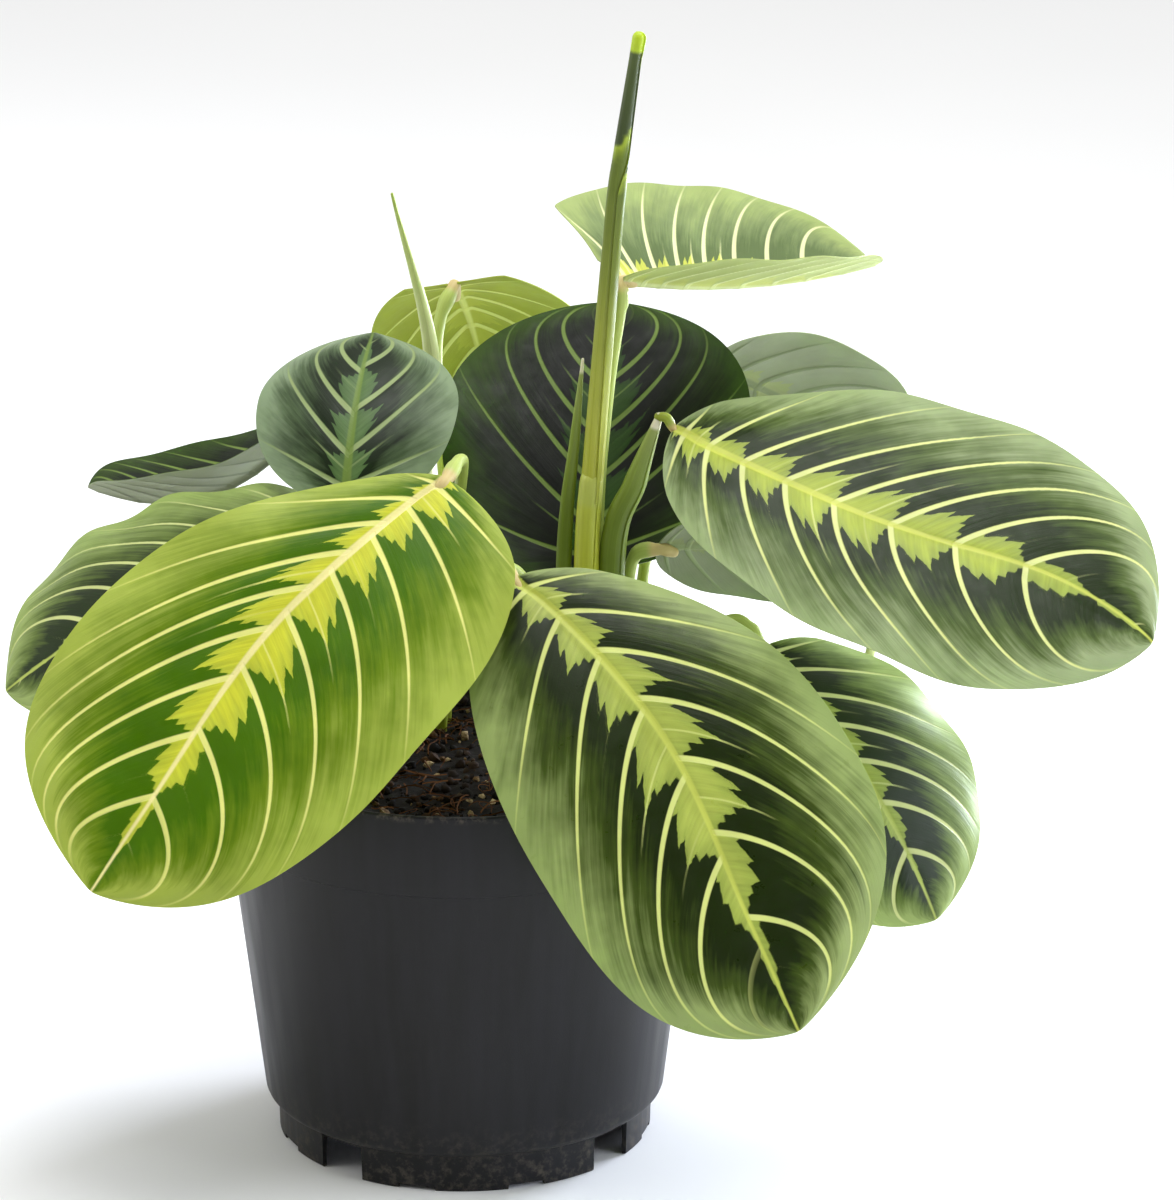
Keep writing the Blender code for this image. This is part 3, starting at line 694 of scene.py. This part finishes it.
def waxy_leaf(look):
    """The leaf material: everything is drawn in the blade's own vein coordinates."""
    tone = LOOKS[look]
    material, tree, shader = new_material(
        "waxy_leaf_" + look, IOR=1.42, Specular_IOR_Level=0.24,
        Subsurface_Weight=0.12, Subsurface_Radius=(0.7, 1.0, 0.25), Subsurface_Scale=0.0012)
    veins = add(tree, "SeparateXYZ", Vector=add(tree, "Attribute",
                                                {"attribute_name": "veins"}).outputs["Vector"])
    lobes = add(tree, "SeparateXYZ", Vector=add(tree, "Attribute",
                                                {"attribute_name": "lobes"}).outputs["Vector"])
    place = add(tree, "SeparateXYZ", Vector=add(tree, "Attribute",
                                                {"attribute_name": "place"}).outputs["Vector"])
    phase, out, half = veins.outputs
    reach, pitch, from_rib = lobes.outputs
    along, under, strength = place.outputs
    body = add(tree, "TexCoord").outputs["Object"]

    # The lobes.
    nth = add(tree, "Math", {"operation": "FLOOR"}, in0=phase)
    between = add(tree, "Math", {"operation": "FRACT"}, in0=phase)
    own = add(tree, "CombineXYZ", in0=nth, in1=half, in2=0.37)
    luck = add(tree, "TexWhiteNoise", {"noise_dimensions": "3D"}, Vector=own)
    wobble = add(tree, "TexNoise", Vector=body, Scale=420.0, Detail=2.0)
    shifted = add(tree, "Math", {"operation": "MULTIPLY_ADD"}, in0=wobble, in1=0.10, in2=between)
    centred = add(tree, "Math", {"operation": "SUBTRACT"}, in0=shifted, in1=0.05)
    edge = add(tree, "FloatCurve", in1=centred)
    curve = edge.mapping.curves[0]
    while len(curve.points) < len(LOBE_EDGE):
        curve.points.new(0.5, 0.5)
    for point, (position, value) in zip(curve.points, LOBE_EDGE):
        point.location = (position, value * LOBE_EDGE_SCALE)
        point.handle_type = "VECTOR"
    edge.mapping.update()
    size = add(tree, "MapRange", Value=luck, in3=0.9 / LOBE_EDGE_SCALE, in4=1.2 / LOBE_EDGE_SCALE)
    own_reach = add(tree, "Math", {"operation": "MULTIPLY"}, in0=reach, in1=size)
    limit = add(tree, "Math", {"operation": "MULTIPLY"}, in0=edge, in1=own_reach)
    inside = add(tree, "Math", {"operation": "SUBTRACT"}, in0=limit, in1=out)
    in_lobe = add(tree, "MapRange", {"interpolation_type": "SMOOTHSTEP"}, Value=inside, in1=-0.006, in2=0.008)
    outer_part = add(tree, "MapRange", Value=inside, in1=0.0, in2=0.12, in3=1.0, in4=0.0)

    # The side veins, 1.1 mm wide where they leave the midrib and thinner than a hair at the margin.
    to_vein = add(tree, "Math", {"operation": "PINGPONG"}, in0=phase, in1=0.5)
    from_vein = add(tree, "Math", {"operation": "MULTIPLY"}, in0=to_vein, in1=pitch)
    vein_half = add(tree, "MapRange", Value=out, in1=0.1, in2=0.98, in3=0.70, in4=0.18)
    vein_rest = add(tree, "Math", {"operation": "SUBTRACT"}, in0=vein_half, in1=from_vein)
    on_vein = add(tree, "MapRange", {"interpolation_type": "SMOOTHSTEP"}, Value=vein_rest, in1=-0.16, in2=0.2)
    vein_fade = add(tree, "MapRange", Value=out, in1=0.72, in2=0.98, in3=1.0, in4=0.25)
    vein = add(tree, "Math", {"operation": "MULTIPLY"}, in0=on_vein, in1=vein_fade)
    vein = add(tree, "Math", {"operation": "MULTIPLY"}, in0=vein, in1=strength)

    # A fine pale line runs on from the middle tooth of some lobes.
    off_tooth = add(tree, "Math", {"operation": "SUBTRACT"}, in0=between, in1=MIDDLE_TOOTH)
    tooth_gap = add(tree, "Math", {"operation": "ABSOLUTE"}, in0=off_tooth)
    tooth_mm = add(tree, "Math", {"operation": "MULTIPLY"}, in0=tooth_gap, in1=pitch)
    on_tooth = add(tree, "MapRange", {"interpolation_type": "SMOOTHSTEP"}, Value=tooth_mm,
                   in1=0.12, in2=0.34, in3=1.0, in4=0.0)
    beyond = add(tree, "MapRange", Value=inside, in1=-0.16, in2=0.0)
    line = add(tree, "Math", {"operation": "MULTIPLY"}, in0=on_tooth, in1=beyond)
    lucky = add(tree, "MapRange", Value=luck, in1=0.5, in2=0.75, in3=0.0, in4=0.6)
    tooth_line = add(tree, "Math", {"operation": "MULTIPLY"}, in0=line, in1=lucky)

    # Fine parallel veins, 0.8 mm apart, as long soft stripes.
    stripe_phase = add(tree, "Math", {"operation": "MULTIPLY"}, in0=phase, in1=13.0)
    stripe_out = add(tree, "Math", {"operation": "MULTIPLY"}, in0=out, in1=3.0)
    stripe_space = add(tree, "CombineXYZ", in0=stripe_phase, in1=stripe_out, in2=half)
    stripes = add(tree, "TexNoise", Vector=stripe_space, Scale=1.0, Detail=2.0, Roughness=0.6)
    broad_space = add(tree, "Mapping", in0=stripe_space, Scale=(0.28, 0.8, 1.0))
    broad = add(tree, "TexNoise", Vector=broad_space, Scale=1.0, Detail=3.0, Roughness=0.6)
    clouds = add(tree, "TexNoise", Vector=body, Scale=75.0, Detail=3.0, Roughness=0.55)

    # From the dark blotch beside the lobes to the lighter margin.
    zone = add(tree, "Math", {"operation": "MULTIPLY_ADD"}, in0=stripes, in1=0.34, in2=out)
    zone = add(tree, "Math", {"operation": "MULTIPLY_ADD"}, in0=broad, in1=0.55, in2=zone)
    zone = add(tree, "Math", {"operation": "MULTIPLY_ADD"}, in0=clouds, in1=0.3, in2=zone)
    to_tip = add(tree, "MapRange", {"interpolation_type": "SMOOTHSTEP"}, Value=along, in1=0.78, in2=1.0,
                 in3=-0.6, in4=-0.18)
    zone = add(tree, "Math", {"operation": "ADD"}, in0=zone, in1=to_tip)
    blade = add(tree, "ValToRGB", Fac=zone)
    set_ramp(blade, (0.34, tone["dark"]), (0.58, tone["green"]), (0.95, tone["rim"]))

    inner = add(tree, "Mix", {"data_type": "RGBA"}, in0=outer_part, in6=linear(tone["lobe"]),
                in7=linear(tone["lobe_rim"]))
    lobe_tint = add(tree, "MapRange", Value=stripes, in1=0.25, in2=0.75, in3=0.82, in4=1.12)
    lobe = add(tree, "VectorMath", {"operation": "SCALE"}, in0=inner.outputs[2], Scale=lobe_tint)
    coloured = add(tree, "Mix", {"data_type": "RGBA"}, in0=in_lobe, in6=blade, in7=lobe)
    lined = add(tree, "Mix", {"data_type": "RGBA"}, in0=tooth_line, in6=coloured.outputs[2],
                in7=linear(tone["vein"]))
    veined = add(tree, "Mix", {"data_type": "RGBA"}, in0=vein, in6=lined.outputs[2], in7=linear(tone["vein"]))
    rib_half = add(tree, "MapRange", Value=along, in1=0.0, in2=1.0, in3=1.15, in4=0.3)
    rib_rest = add(tree, "Math", {"operation": "SUBTRACT"}, in0=rib_half, in1=from_rib)
    on_rib = add(tree, "MapRange", {"interpolation_type": "SMOOTHSTEP"}, Value=rib_rest, in1=-0.3, in2=0.3,
                 in4=0.85)
    upper = add(tree, "Mix", {"data_type": "RGBA"}, in0=on_rib, in6=veined.outputs[2],
                in7=linear(tone["rib"]))

    # The lower face: matt, with the veins standing out and the lobes shining through.
    lower = add(tree, "Mix", {"data_type": "RGBA"}, in0=vein, in6=linear(tone["under"]),
                in7=linear(tone["under_vein"]))
    through = add(tree, "Math", {"operation": "MULTIPLY"}, in0=in_lobe, in1=0.3)
    lower = add(tree, "Mix", {"data_type": "RGBA"}, in0=through, in6=lower.outputs[2],
                in7=linear(tone["lobe"]))
    lower = add(tree, "Mix", {"data_type": "RGBA"}, in0=on_rib, in6=lower.outputs[2],
                in7=linear(tone["under_vein"]))
    faces = add(tree, "Mix", {"data_type": "RGBA"}, in0=under, in6=upper.outputs[2], in7=lower.outputs[2])

    mottle = add(tree, "MapRange", Value=clouds, in1=0.25, in2=0.75, in3=0.88, in4=1.1)
    finished = add(tree, "VectorMath", {"operation": "SCALE"}, in0=faces.outputs[2], Scale=mottle)
    tree.links.new(finished.outputs[0], shader.inputs["Base Color"])

    # Wax: glossier in patches, and dull underneath.
    wax = add(tree, "TexNoise", Vector=body, Scale=260.0, Detail=4.0, Roughness=0.65)
    satin = add(tree, "MapRange", Value=wax, in1=0.3, in2=0.7, in3=tone["satin"] - 0.06,
                in4=tone["satin"] + 0.12)
    rough = add(tree, "Math", {"operation": "MULTIPLY_ADD"}, in0=under, in1=0.25, in2=satin)
    tree.links.new(rough.outputs[0], shader.inputs["Roughness"])

    # Veins a little sunk above and proud below, stripes and the skin's 0.3 mm cells.
    cells = add(tree, "TexNoise", Vector=body, Scale=2400.0, Detail=2.0)
    side = add(tree, "MapRange", Value=under, in3=-0.55, in4=0.8)
    relief = add(tree, "Math", {"operation": "MULTIPLY"}, in0=vein, in1=side)
    relief = add(tree, "Math", {"operation": "MULTIPLY_ADD"}, in0=stripes, in1=0.5, in2=relief)
    relief = add(tree, "Math", {"operation": "MULTIPLY_ADD"}, in0=cells, in1=0.12, in2=relief)
    bump = add(tree, "Bump", Strength=0.6, Distance=0.00022, Height=relief)
    tree.links.new(bump.outputs[0], shader.inputs["Normal"])
    return material


leaf_materials = {look: waxy_leaf(look) for look in LOOKS}
for leaf_name, leaf_shape in LEAVES.items():
    build_blade(leaf_name, leaf_shape, leaf_materials[leaf_shape["look"]])


# ==== The stalks ==================================================================
# Each blade hangs on a thin round stalk that rises from the mix. Its last few millimetres
# are the swollen joint that tilts the blade, paler and flushed with pink, and the stalk
# runs on under the blade as its midrib.

STALKS = {
    "stalk_front_left": ("leaf_front_left", [(-6, 26, 90), (-4, 18, 130), (0, 0, 165), (0, -14, 174)]),
    "stalk_front_centre": ("leaf_front_centre",
                           [(25, -4, 90), (22, -12, 125), (15, -23, 147), (11, -29, 152)]),
    "stalk_right": ("leaf_right", [(46.9, -3.7, 181.6), (49.0, -4.4, 181.4)]),
    "stalk_back_centre": ("leaf_back_centre", [(29, 8, 90), (29, 12, 115), (30, 12, 130)]),
    "stalk_upper_right": ("leaf_upper_right", [(33, 5.2, 90), (32.5, 5.2, 150), (35, 5, 185), (38, 4, 207)]),
    "stalk_left_small": ("leaf_left_small", [(-13, 26, 90), (-15, 22, 130), (-23, 11, 154)]),
    "stalk_back_left": ("leaf_back_left", [(-5, 34, 90), (-4, 44, 130), (-7, 54, 180)]),
    "stalk_far_left": ("leaf_far_left", [(-15, 31, 90), (-20, 36, 130), (-34, 41, 158)]),
    "stalk_left_low": ("leaf_left_low", [(-12, 21, 90), (-11, 10, 130), (-13, -1, 150)]),
    "stalk_back_right": ("leaf_back_right", [(36, 11, 90), (43, 30, 125), (49, 55, 162), (55, 64, 175)]),
    "stalk_right_inner": ("leaf_right_inner", [(38.5, 5, 90), (39.5, 5, 125), (41, 3.4, 143.5)]),
    "stalk_right_low": ("leaf_right_low",
                        [(33, -5.6, 90), (47, -5, 118), (63, -5, 130.5), (69, -6.2, 129.5)]),
}
THIN_STALKS = {"stalk_right": 0.6}     # a short link out of its sheath
STALK_RADIUS = 1.5
JOINT_RADIUS = 1.95
JOINT_LENGTH = 7.0


def smooth_route(route, radii, pieces=10):
    """Points on a smooth curve through the route's own points, and the radius at each."""
    places = [np.array(p, float) for p in route]
    ahead = [places[0] * 2 - places[1]] + places + [places[-1] * 2 - places[-2]]
    points, sizes = [], []
    for i in range(len(places) - 1):
        a, b, c, d = ahead[i:i + 4]
        for t in np.arange(pieces) / pieces:
            points.append(0.5 * (2 * b + (c - a) * t + (2 * a - 5 * b + 4 * c - d) * t * t
                                 + (3 * b - a - 3 * c + d) * t ** 3))
            sizes.append(radii[i] + (radii[i + 1] - radii[i]) * t)
    return np.array(points + [places[-1]]), np.array(sizes + [radii[-1]])


def rod(route, radii, sides=20, lap=0.0, turn=lambda along: 0.0, section=lambda angle, along: 1.0):
    """A closed rod with rounded ends along a route. With lap its skin is one rolled sheet, whose
    free edge stands off by that part of the radius and lies at turn(along), in degrees.
    Returns points, faces, and each point's part of the length, angle and distance to the end."""
    steps = np.gradient(route, axis=0)
    steps /= np.linalg.norm(steps, axis=1, keepdims=True)
    lengths = np.concatenate([[0.0], np.cumsum(np.linalg.norm(np.diff(route, axis=0), axis=1))])
    across = np.cross((0.0, 1.0, 0.0), steps[0])
    rings, facts = [], []
    for i, (middle, radius, ahead) in enumerate(zip(route, radii, steps)):
        across = across - ahead * (across @ ahead)
        across /= np.linalg.norm(across)
        beside = np.cross(ahead, across)
        along = lengths[i] / lengths[-1]
        slices = [(0.0, 1.0)]
        if i == 0:
            slices = [(-math.sin(t), math.cos(t)) for t in (1.45, 1.0, 0.5)] + slices
        if i == len(route) - 1:
            slices += [(math.sin(t), math.cos(t)) for t in (0.5, 1.0, 1.45)]
        for forward, shrink in slices:
            ring = []
            for j in range(sides):
                angle = math.radians(turn(along)) + 2 * math.pi * j / (sides - (1 if lap else 0))
                size = radius * shrink * (1.0 - lap * j / sides) * section(angle, along)
                ring.append(middle + ahead * forward * radius * 0.9
                            + (across * math.cos(angle) + beside * math.sin(angle)) * size)
                facts.append((along, angle, lengths[-1] - lengths[i]))
            rings.append(ring)
    faces = []
    for k in range(len(rings) - 1):
        for j in range(sides):
            a, b = k * sides + j, k * sides + (j + 1) % sides
            faces.append((a, b, b + sides, a + sides))
    faces.append(tuple(range(sides))[::-1])
    faces.append(tuple((len(rings) - 1) * sides + j for j in range(sides)))
    return [tuple(p) for ring in rings for p in ring], faces, facts


def note_growth(piece, facts):
    """Stores each point's part of the length, angle and distance to the end on the piece."""
    layer = piece.data.attributes.new("growth", "FLOAT_VECTOR", "POINT")
    layer.data.foreach_set("vector", np.array(facts, np.float32).ravel())


def fresh_stalk(name, ramp, joint_colour="#d9b088", satin=0.4, rib_count=16.0, tip_colour=None, wind=0.0):
    """A juicy green stalk: a glassy skin over fine lengthwise strands, one colour running into
    the next along it, winding up it by that part of its length per radian. The last
    millimetres turn to the joint's colour, or to a dry tip's."""
    material, tree, shader = new_material(
        name, IOR=1.42, Subsurface_Weight=0.15, Subsurface_Radius=(0.8, 1.0, 0.3), Subsurface_Scale=0.0015)
    growth = add(tree, "Attribute", {"attribute_name": "growth"})
    along, angle, to_end = add(tree, "SeparateXYZ", Vector=growth.outputs["Vector"]).outputs
    body = add(tree, "TexCoord").outputs["Object"]
    soft = add(tree, "TexNoise", Vector=body, Scale=160.0, Detail=3.0)
    wound_along = add(tree, "Math", {"operation": "MULTIPLY_ADD"}, in0=angle, in1=wind, in2=along)
    shifted = add(tree, "Math", {"operation": "MULTIPLY_ADD"}, in0=soft, in1=0.1, in2=wound_along)
    centred = add(tree, "Math", {"operation": "SUBTRACT"}, in0=shifted, in1=0.05)
    colour = add(tree, "ValToRGB", Fac=centred)
    set_ramp(colour, *ramp)
    # Strands, about 0.6 mm apart round the stalk.
    wound = add(tree, "Math", {"operation": "MULTIPLY"}, in0=angle, in1=rib_count / math.pi)
    strand_space = add(tree, "CombineXYZ", in0=wound, in1=along)
    strands = add(tree, "TexNoise", Vector=strand_space, Scale=1.0, Detail=3.0, Roughness=0.6)
    tint = add(tree, "MapRange", Value=strands, in1=0.25, in2=0.75, in3=0.84, in4=1.12)
    striped = add(tree, "VectorMath", {"operation": "SCALE"}, in0=colour, Scale=tint)
    last = JOINT_LENGTH if tip_colour is None else 4.0
    near_end = add(tree, "MapRange", {"interpolation_type": "SMOOTHSTEP"}, Value=to_end,
                   in1=last * 0.7, in2=last, in3=0.6 if tip_colour is None else 0.95, in4=0.0)
    ended = add(tree, "Mix", {"data_type": "RGBA"}, in0=near_end, in6=striped,
                in7=linear(tip_colour or joint_colour))
    tree.links.new(ended.outputs[2], shader.inputs["Base Color"])
    rough = add(tree, "MapRange", Value=soft, in1=0.3, in2=0.7, in3=satin - 0.06, in4=satin + 0.1)
    tree.links.new(rough.outputs[0], shader.inputs["Roughness"])
    bump = add(tree, "Bump", Strength=0.5, Distance=0.00012, Height=strands)
    tree.links.new(bump.outputs[0], shader.inputs["Normal"])
    return material


def build_stalk(name, leaf_name, route, material, thin=1.0):
    """One leaf stalk, its joint, and its run under the blade."""
    base, chord, _, up = blade_axes(LEAVES[leaf_name])
    forward = chord / np.linalg.norm(chord)
    path = route + [base - up * 0.9, base + forward * 4.0 - up * 1.0]
    points, sizes = smooth_route(path, [STALK_RADIUS] * len(route) + [STALK_RADIUS, 0.8])
    to_base = np.linalg.norm(points - (base - up * 0.9), axis=1)
    joint = smooth_step(JOINT_LENGTH, JOINT_LENGTH * 0.6, to_base) * smooth_step(0.0, 2.5, to_base)
    sizes = sizes + (JOINT_RADIUS - STALK_RADIUS) * joint
    mesh_points, faces, facts = rod(points, sizes * thin)
    stalk = make_piece(name, in_frame(mesh_points), faces, material)
    note_growth(stalk, facts)
    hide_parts(name)


green_stalk = fresh_stalk("fresh_green_stalk", [(0.0, "#7f8a1c"), (0.45, "#97a83a"), (1.0, "#b4c46a")])
for stalk_name, (leaf_name, stalk_route) in STALKS.items():
    build_stalk(stalk_name, leaf_name, stalk_route, green_stalk, THIN_STALKS.get(stalk_name, 1.0))


# ==== The tall shoot and the young shoots =========================================
# In the middle stands a stem whose newest leaf is still rolled: one sheet wound about one
# and a half times, its free margin running up the front. Pointed sheaths clasp its foot,
# and two pale young shoots come up beside it, one of them on a short runner.

RODS = {
    "shoot_stem": (
        [(29, 0, 90), (29.4, 0, 120), (30, 0, 150), (30.8, 0, 162), (31.1, 0, 165)],
        (3.4, 3.3, 3.1, 3.0, 2.9)),
    "leaf_rolled": (
        [(30.8, 0, 160), (33, 0, 190), (35.6, 0, 222), (37.4, 0, 240), (42, 0, 273)],
        (2.9, 2.7, 2.5, 2.5, 1.6)),
    "sheath_left": (
        [(23.4, 1.5, 90), (24.6, 1.5, 148), (27.2, 2.5, 175), (29, 2.5, 194)], (1.9, 1.8, 1.2, 0.3)),
    "sheath_right": (
        [(36.5, -1, 90), (36, 0, 146), (41.5, -2, 165), (47.2, -4, 182)], (2.6, 3.0, 2.6, 0.8)),
    "shoot_left": (
        [(-12, 38, 90), (-10, 41, 150), (-8, 42, 184), (-17, 38, 225)], (2.0, 2.4, 2.1, 0.4)),
    "shoot_right": (
        [(41, 11, 90), (49, 14, 108), (66, 18, 108), (86, 20, 103), (98, 20, 110), (100, 20, 138)],
        (1.7, 1.7, 1.7, 1.7, 1.6, 0.4)),
}


def build_rod(name, material, lap=0.0, turn=lambda along: 0.0, section=lambda angle, along: 1.0):
    route, radii = RODS[name]
    points, sizes = smooth_route(route, radii, 14)
    mesh_points, faces, facts = rod(points, sizes, 40, lap, turn, section)
    piece = make_piece(name, in_frame(mesh_points), faces, material)
    note_growth(piece, facts)
    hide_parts(name)
    return piece


def rolled_section(angle, along):
    """Lengthwise folds of the rolled blade, the narrower inner roll above its free point, and
    the flared mouth at the top."""
    folds = 1.0 + 0.03 * math.sin(3 * angle + 5 * along) + 0.02 * math.sin(7 * angle - 9 * along)
    flare = 0.35 * float(smooth_step(0.95, 1.0, along)) * (0.6 + 0.4 * math.cos(angle))
    return folds * (1.0 - 0.10 * float(smooth_step(0.66, 0.76, along)) + flare)


def rolled_turn(along):
    """Where the free margin lies: on the right of the front, then round to its middle."""
    return -62.0 - 30.0 * along + 70.0 * float(smooth_step(0.66, 0.78, along))


stem_green = fresh_stalk("sheathed_green_stem",
                         [(0.0, "#98990f"), (0.5, "#b2b41c"), (0.9, "#c0c64a"), (1.0, "#c0c65a")],
                         joint_colour="#b9c25e")
# Painted shadow: the rolled blade is darkest just above the outer wrap's free point, that point's shadow
# painted in and fading up the inner roll's own darker green.
rolled_green = fresh_stalk(
    "rolled_leaf_green", [(0.0, "#b4b840"), (0.25, "#98a034"), (0.5, "#6f7e22"), (0.69, "#5f701e"),
                          (0.725, "#9cb02c"), (0.74, "#3c4a20"), (0.92, "#4c5a2a"), (1.0, "#a4bb22")],
    tip_colour="#b4cc2a", rib_count=22.0, wind=-0.012)
sheath_green = fresh_stalk("clasping_sheath_green",
                           [(0.0, "#7d8a16"), (0.55, "#66791c"), (0.85, "#7f9238"), (1.0, "#93a055")],
                           tip_colour="#d9d3b6", rib_count=20.0)
pale_green = fresh_stalk("pale_young_shoot",
                         [(0.0, "#c2cf7c"), (0.5, "#dbe2a8"), (0.8, "#c9d68c"), (1.0, "#a9bd5a")],
                         tip_colour="#9db04a", rib_count=12.0)

build_rod("shoot_stem", stem_green, 0.10, lambda along: -70.0 + 25.0 * along)
build_rod("leaf_rolled", rolled_green, 0.20, rolled_turn, rolled_section)
build_rod("sheath_left", sheath_green, 0.15, lambda along: 200.0,
          lambda angle, along: 1.0 + 0.12 * math.cos(2 * angle))
build_rod("sheath_right", sheath_green, 0.15, lambda along: -40.0,
          lambda angle, along: 1.0 + 0.12 * math.cos(2 * angle))
build_rod("shoot_left", pale_green, 0.12, lambda along: -110.0 + 40.0 * along)
build_rod("shoot_right", pale_green, 0.12, lambda along: -90.0)



# ==== The studio ==================================================================
# A pale floor that runs out of view, soft white light from above and both sides, and a long
# lens a little above the plant, straight in front of it.

floor_mesh = bpy.data.meshes.new("floor")
FLOOR_HALF = 6.0
floor_mesh.from_pydata([(x * FLOOR_HALF, y * FLOOR_HALF, 0.0)
                        for x, y in ((-1, -1), (1, -1), (1, 1), (-1, 1))],
                       [], [(0, 1, 2, 3)])
floor = bpy.data.objects.new("floor", floor_mesh)
bpy.context.scene.collection.objects.link(floor)
floor_paint, floor_tree, floor_shader = new_material("matt_white_paint", Roughness=0.9,
                                                     Specular_IOR_Level=0.1)
floor_shade = add(floor_tree, "TexNoise", Vector=add(floor_tree, "TexCoord").outputs["Object"], Scale=3.0,
                  Detail=2.0)
floor_colour = add(floor_tree, "ValToRGB", Fac=floor_shade)
set_ramp(floor_colour, (0.3, "#f4f4f3"), (0.7, "#f8f8f7"))
floor_tree.links.new(floor_colour.outputs[0], floor_shader.inputs["Base Color"])
floor_mesh.materials.append(floor_paint)

world = bpy.data.worlds.new("studio")
world.use_nodes = True
backdrop = world.node_tree.nodes["Background"]
backdrop.inputs["Color"].default_value = linear("#ffffff")
# A dim studio in front, where the room is, and white card behind and above.
toward = add(world.node_tree, "SeparateXYZ", Vector=add(world.node_tree, "TexCoord").outputs["Generated"])
room = add(world.node_tree, "MapRange", {"interpolation_type": "SMOOTHSTEP"}, Value=toward.outputs["Y"],
           in1=-0.9, in2=0.3, in3=0.13, in4=0.85)
world.node_tree.links.new(room.outputs[0], backdrop.inputs["Strength"])
bpy.context.scene.world = world

LIGHT_TARGET = Vector(in_frame((0.0, 0.0, 110.0)))


def soft_box(name, place, size, power, colour="#ffffff"):
    """A square area light at place, in metres, turned to the plant."""
    light = bpy.data.lights.new(name, "AREA")
    light.shape = "SQUARE"
    light.size = size
    light.energy = power
    light.color = linear(colour)[:3]
    lamp = bpy.data.objects.new(name, light)
    lamp.location = place
    lamp.rotation_euler = (LIGHT_TARGET - lamp.location).to_track_quat("-Z", "Y").to_euler()
    bpy.context.scene.collection.objects.link(lamp)


soft_box("overhead_soft_box", (0.1, -0.1, 1.5), 1.0, 17.0)
soft_box("right_soft_box", (1.2, -0.35, 0.5), 0.8, 9.0, "#e8eeff")
soft_box("low_rim_soft_box", (0.48, 0.4, 0.17), 0.3, 10.0, "#e4ebff")
soft_box("left_soft_box", (-1.4, -0.1, 0.7), 0.8, 5.0)

CAMERA_TARGET = (30.0, 0.0, 134.5)     # mm from the pot's axis
CAMERA_DISTANCE = 1.6
CAMERA_ELEVATION = math.radians(18.5)
camera_data = bpy.data.cameras.new("camera")
camera_data.lens = 200.0
camera_data.sensor_width = 36.0
camera_data.clip_start = 0.05
camera_data.clip_end = 50.0
camera = bpy.data.objects.new("camera", camera_data)
away = Vector((0.0, -math.cos(CAMERA_ELEVATION), math.sin(CAMERA_ELEVATION)))
camera.location = Vector(in_frame(CAMERA_TARGET)) + away * CAMERA_DISTANCE
camera.rotation_euler = (math.pi / 2 - CAMERA_ELEVATION, 0.0, 0.0)
bpy.context.scene.collection.objects.link(camera)
bpy.context.scene.camera = camera
bpy.context.scene.view_settings.view_transform = "Standard"
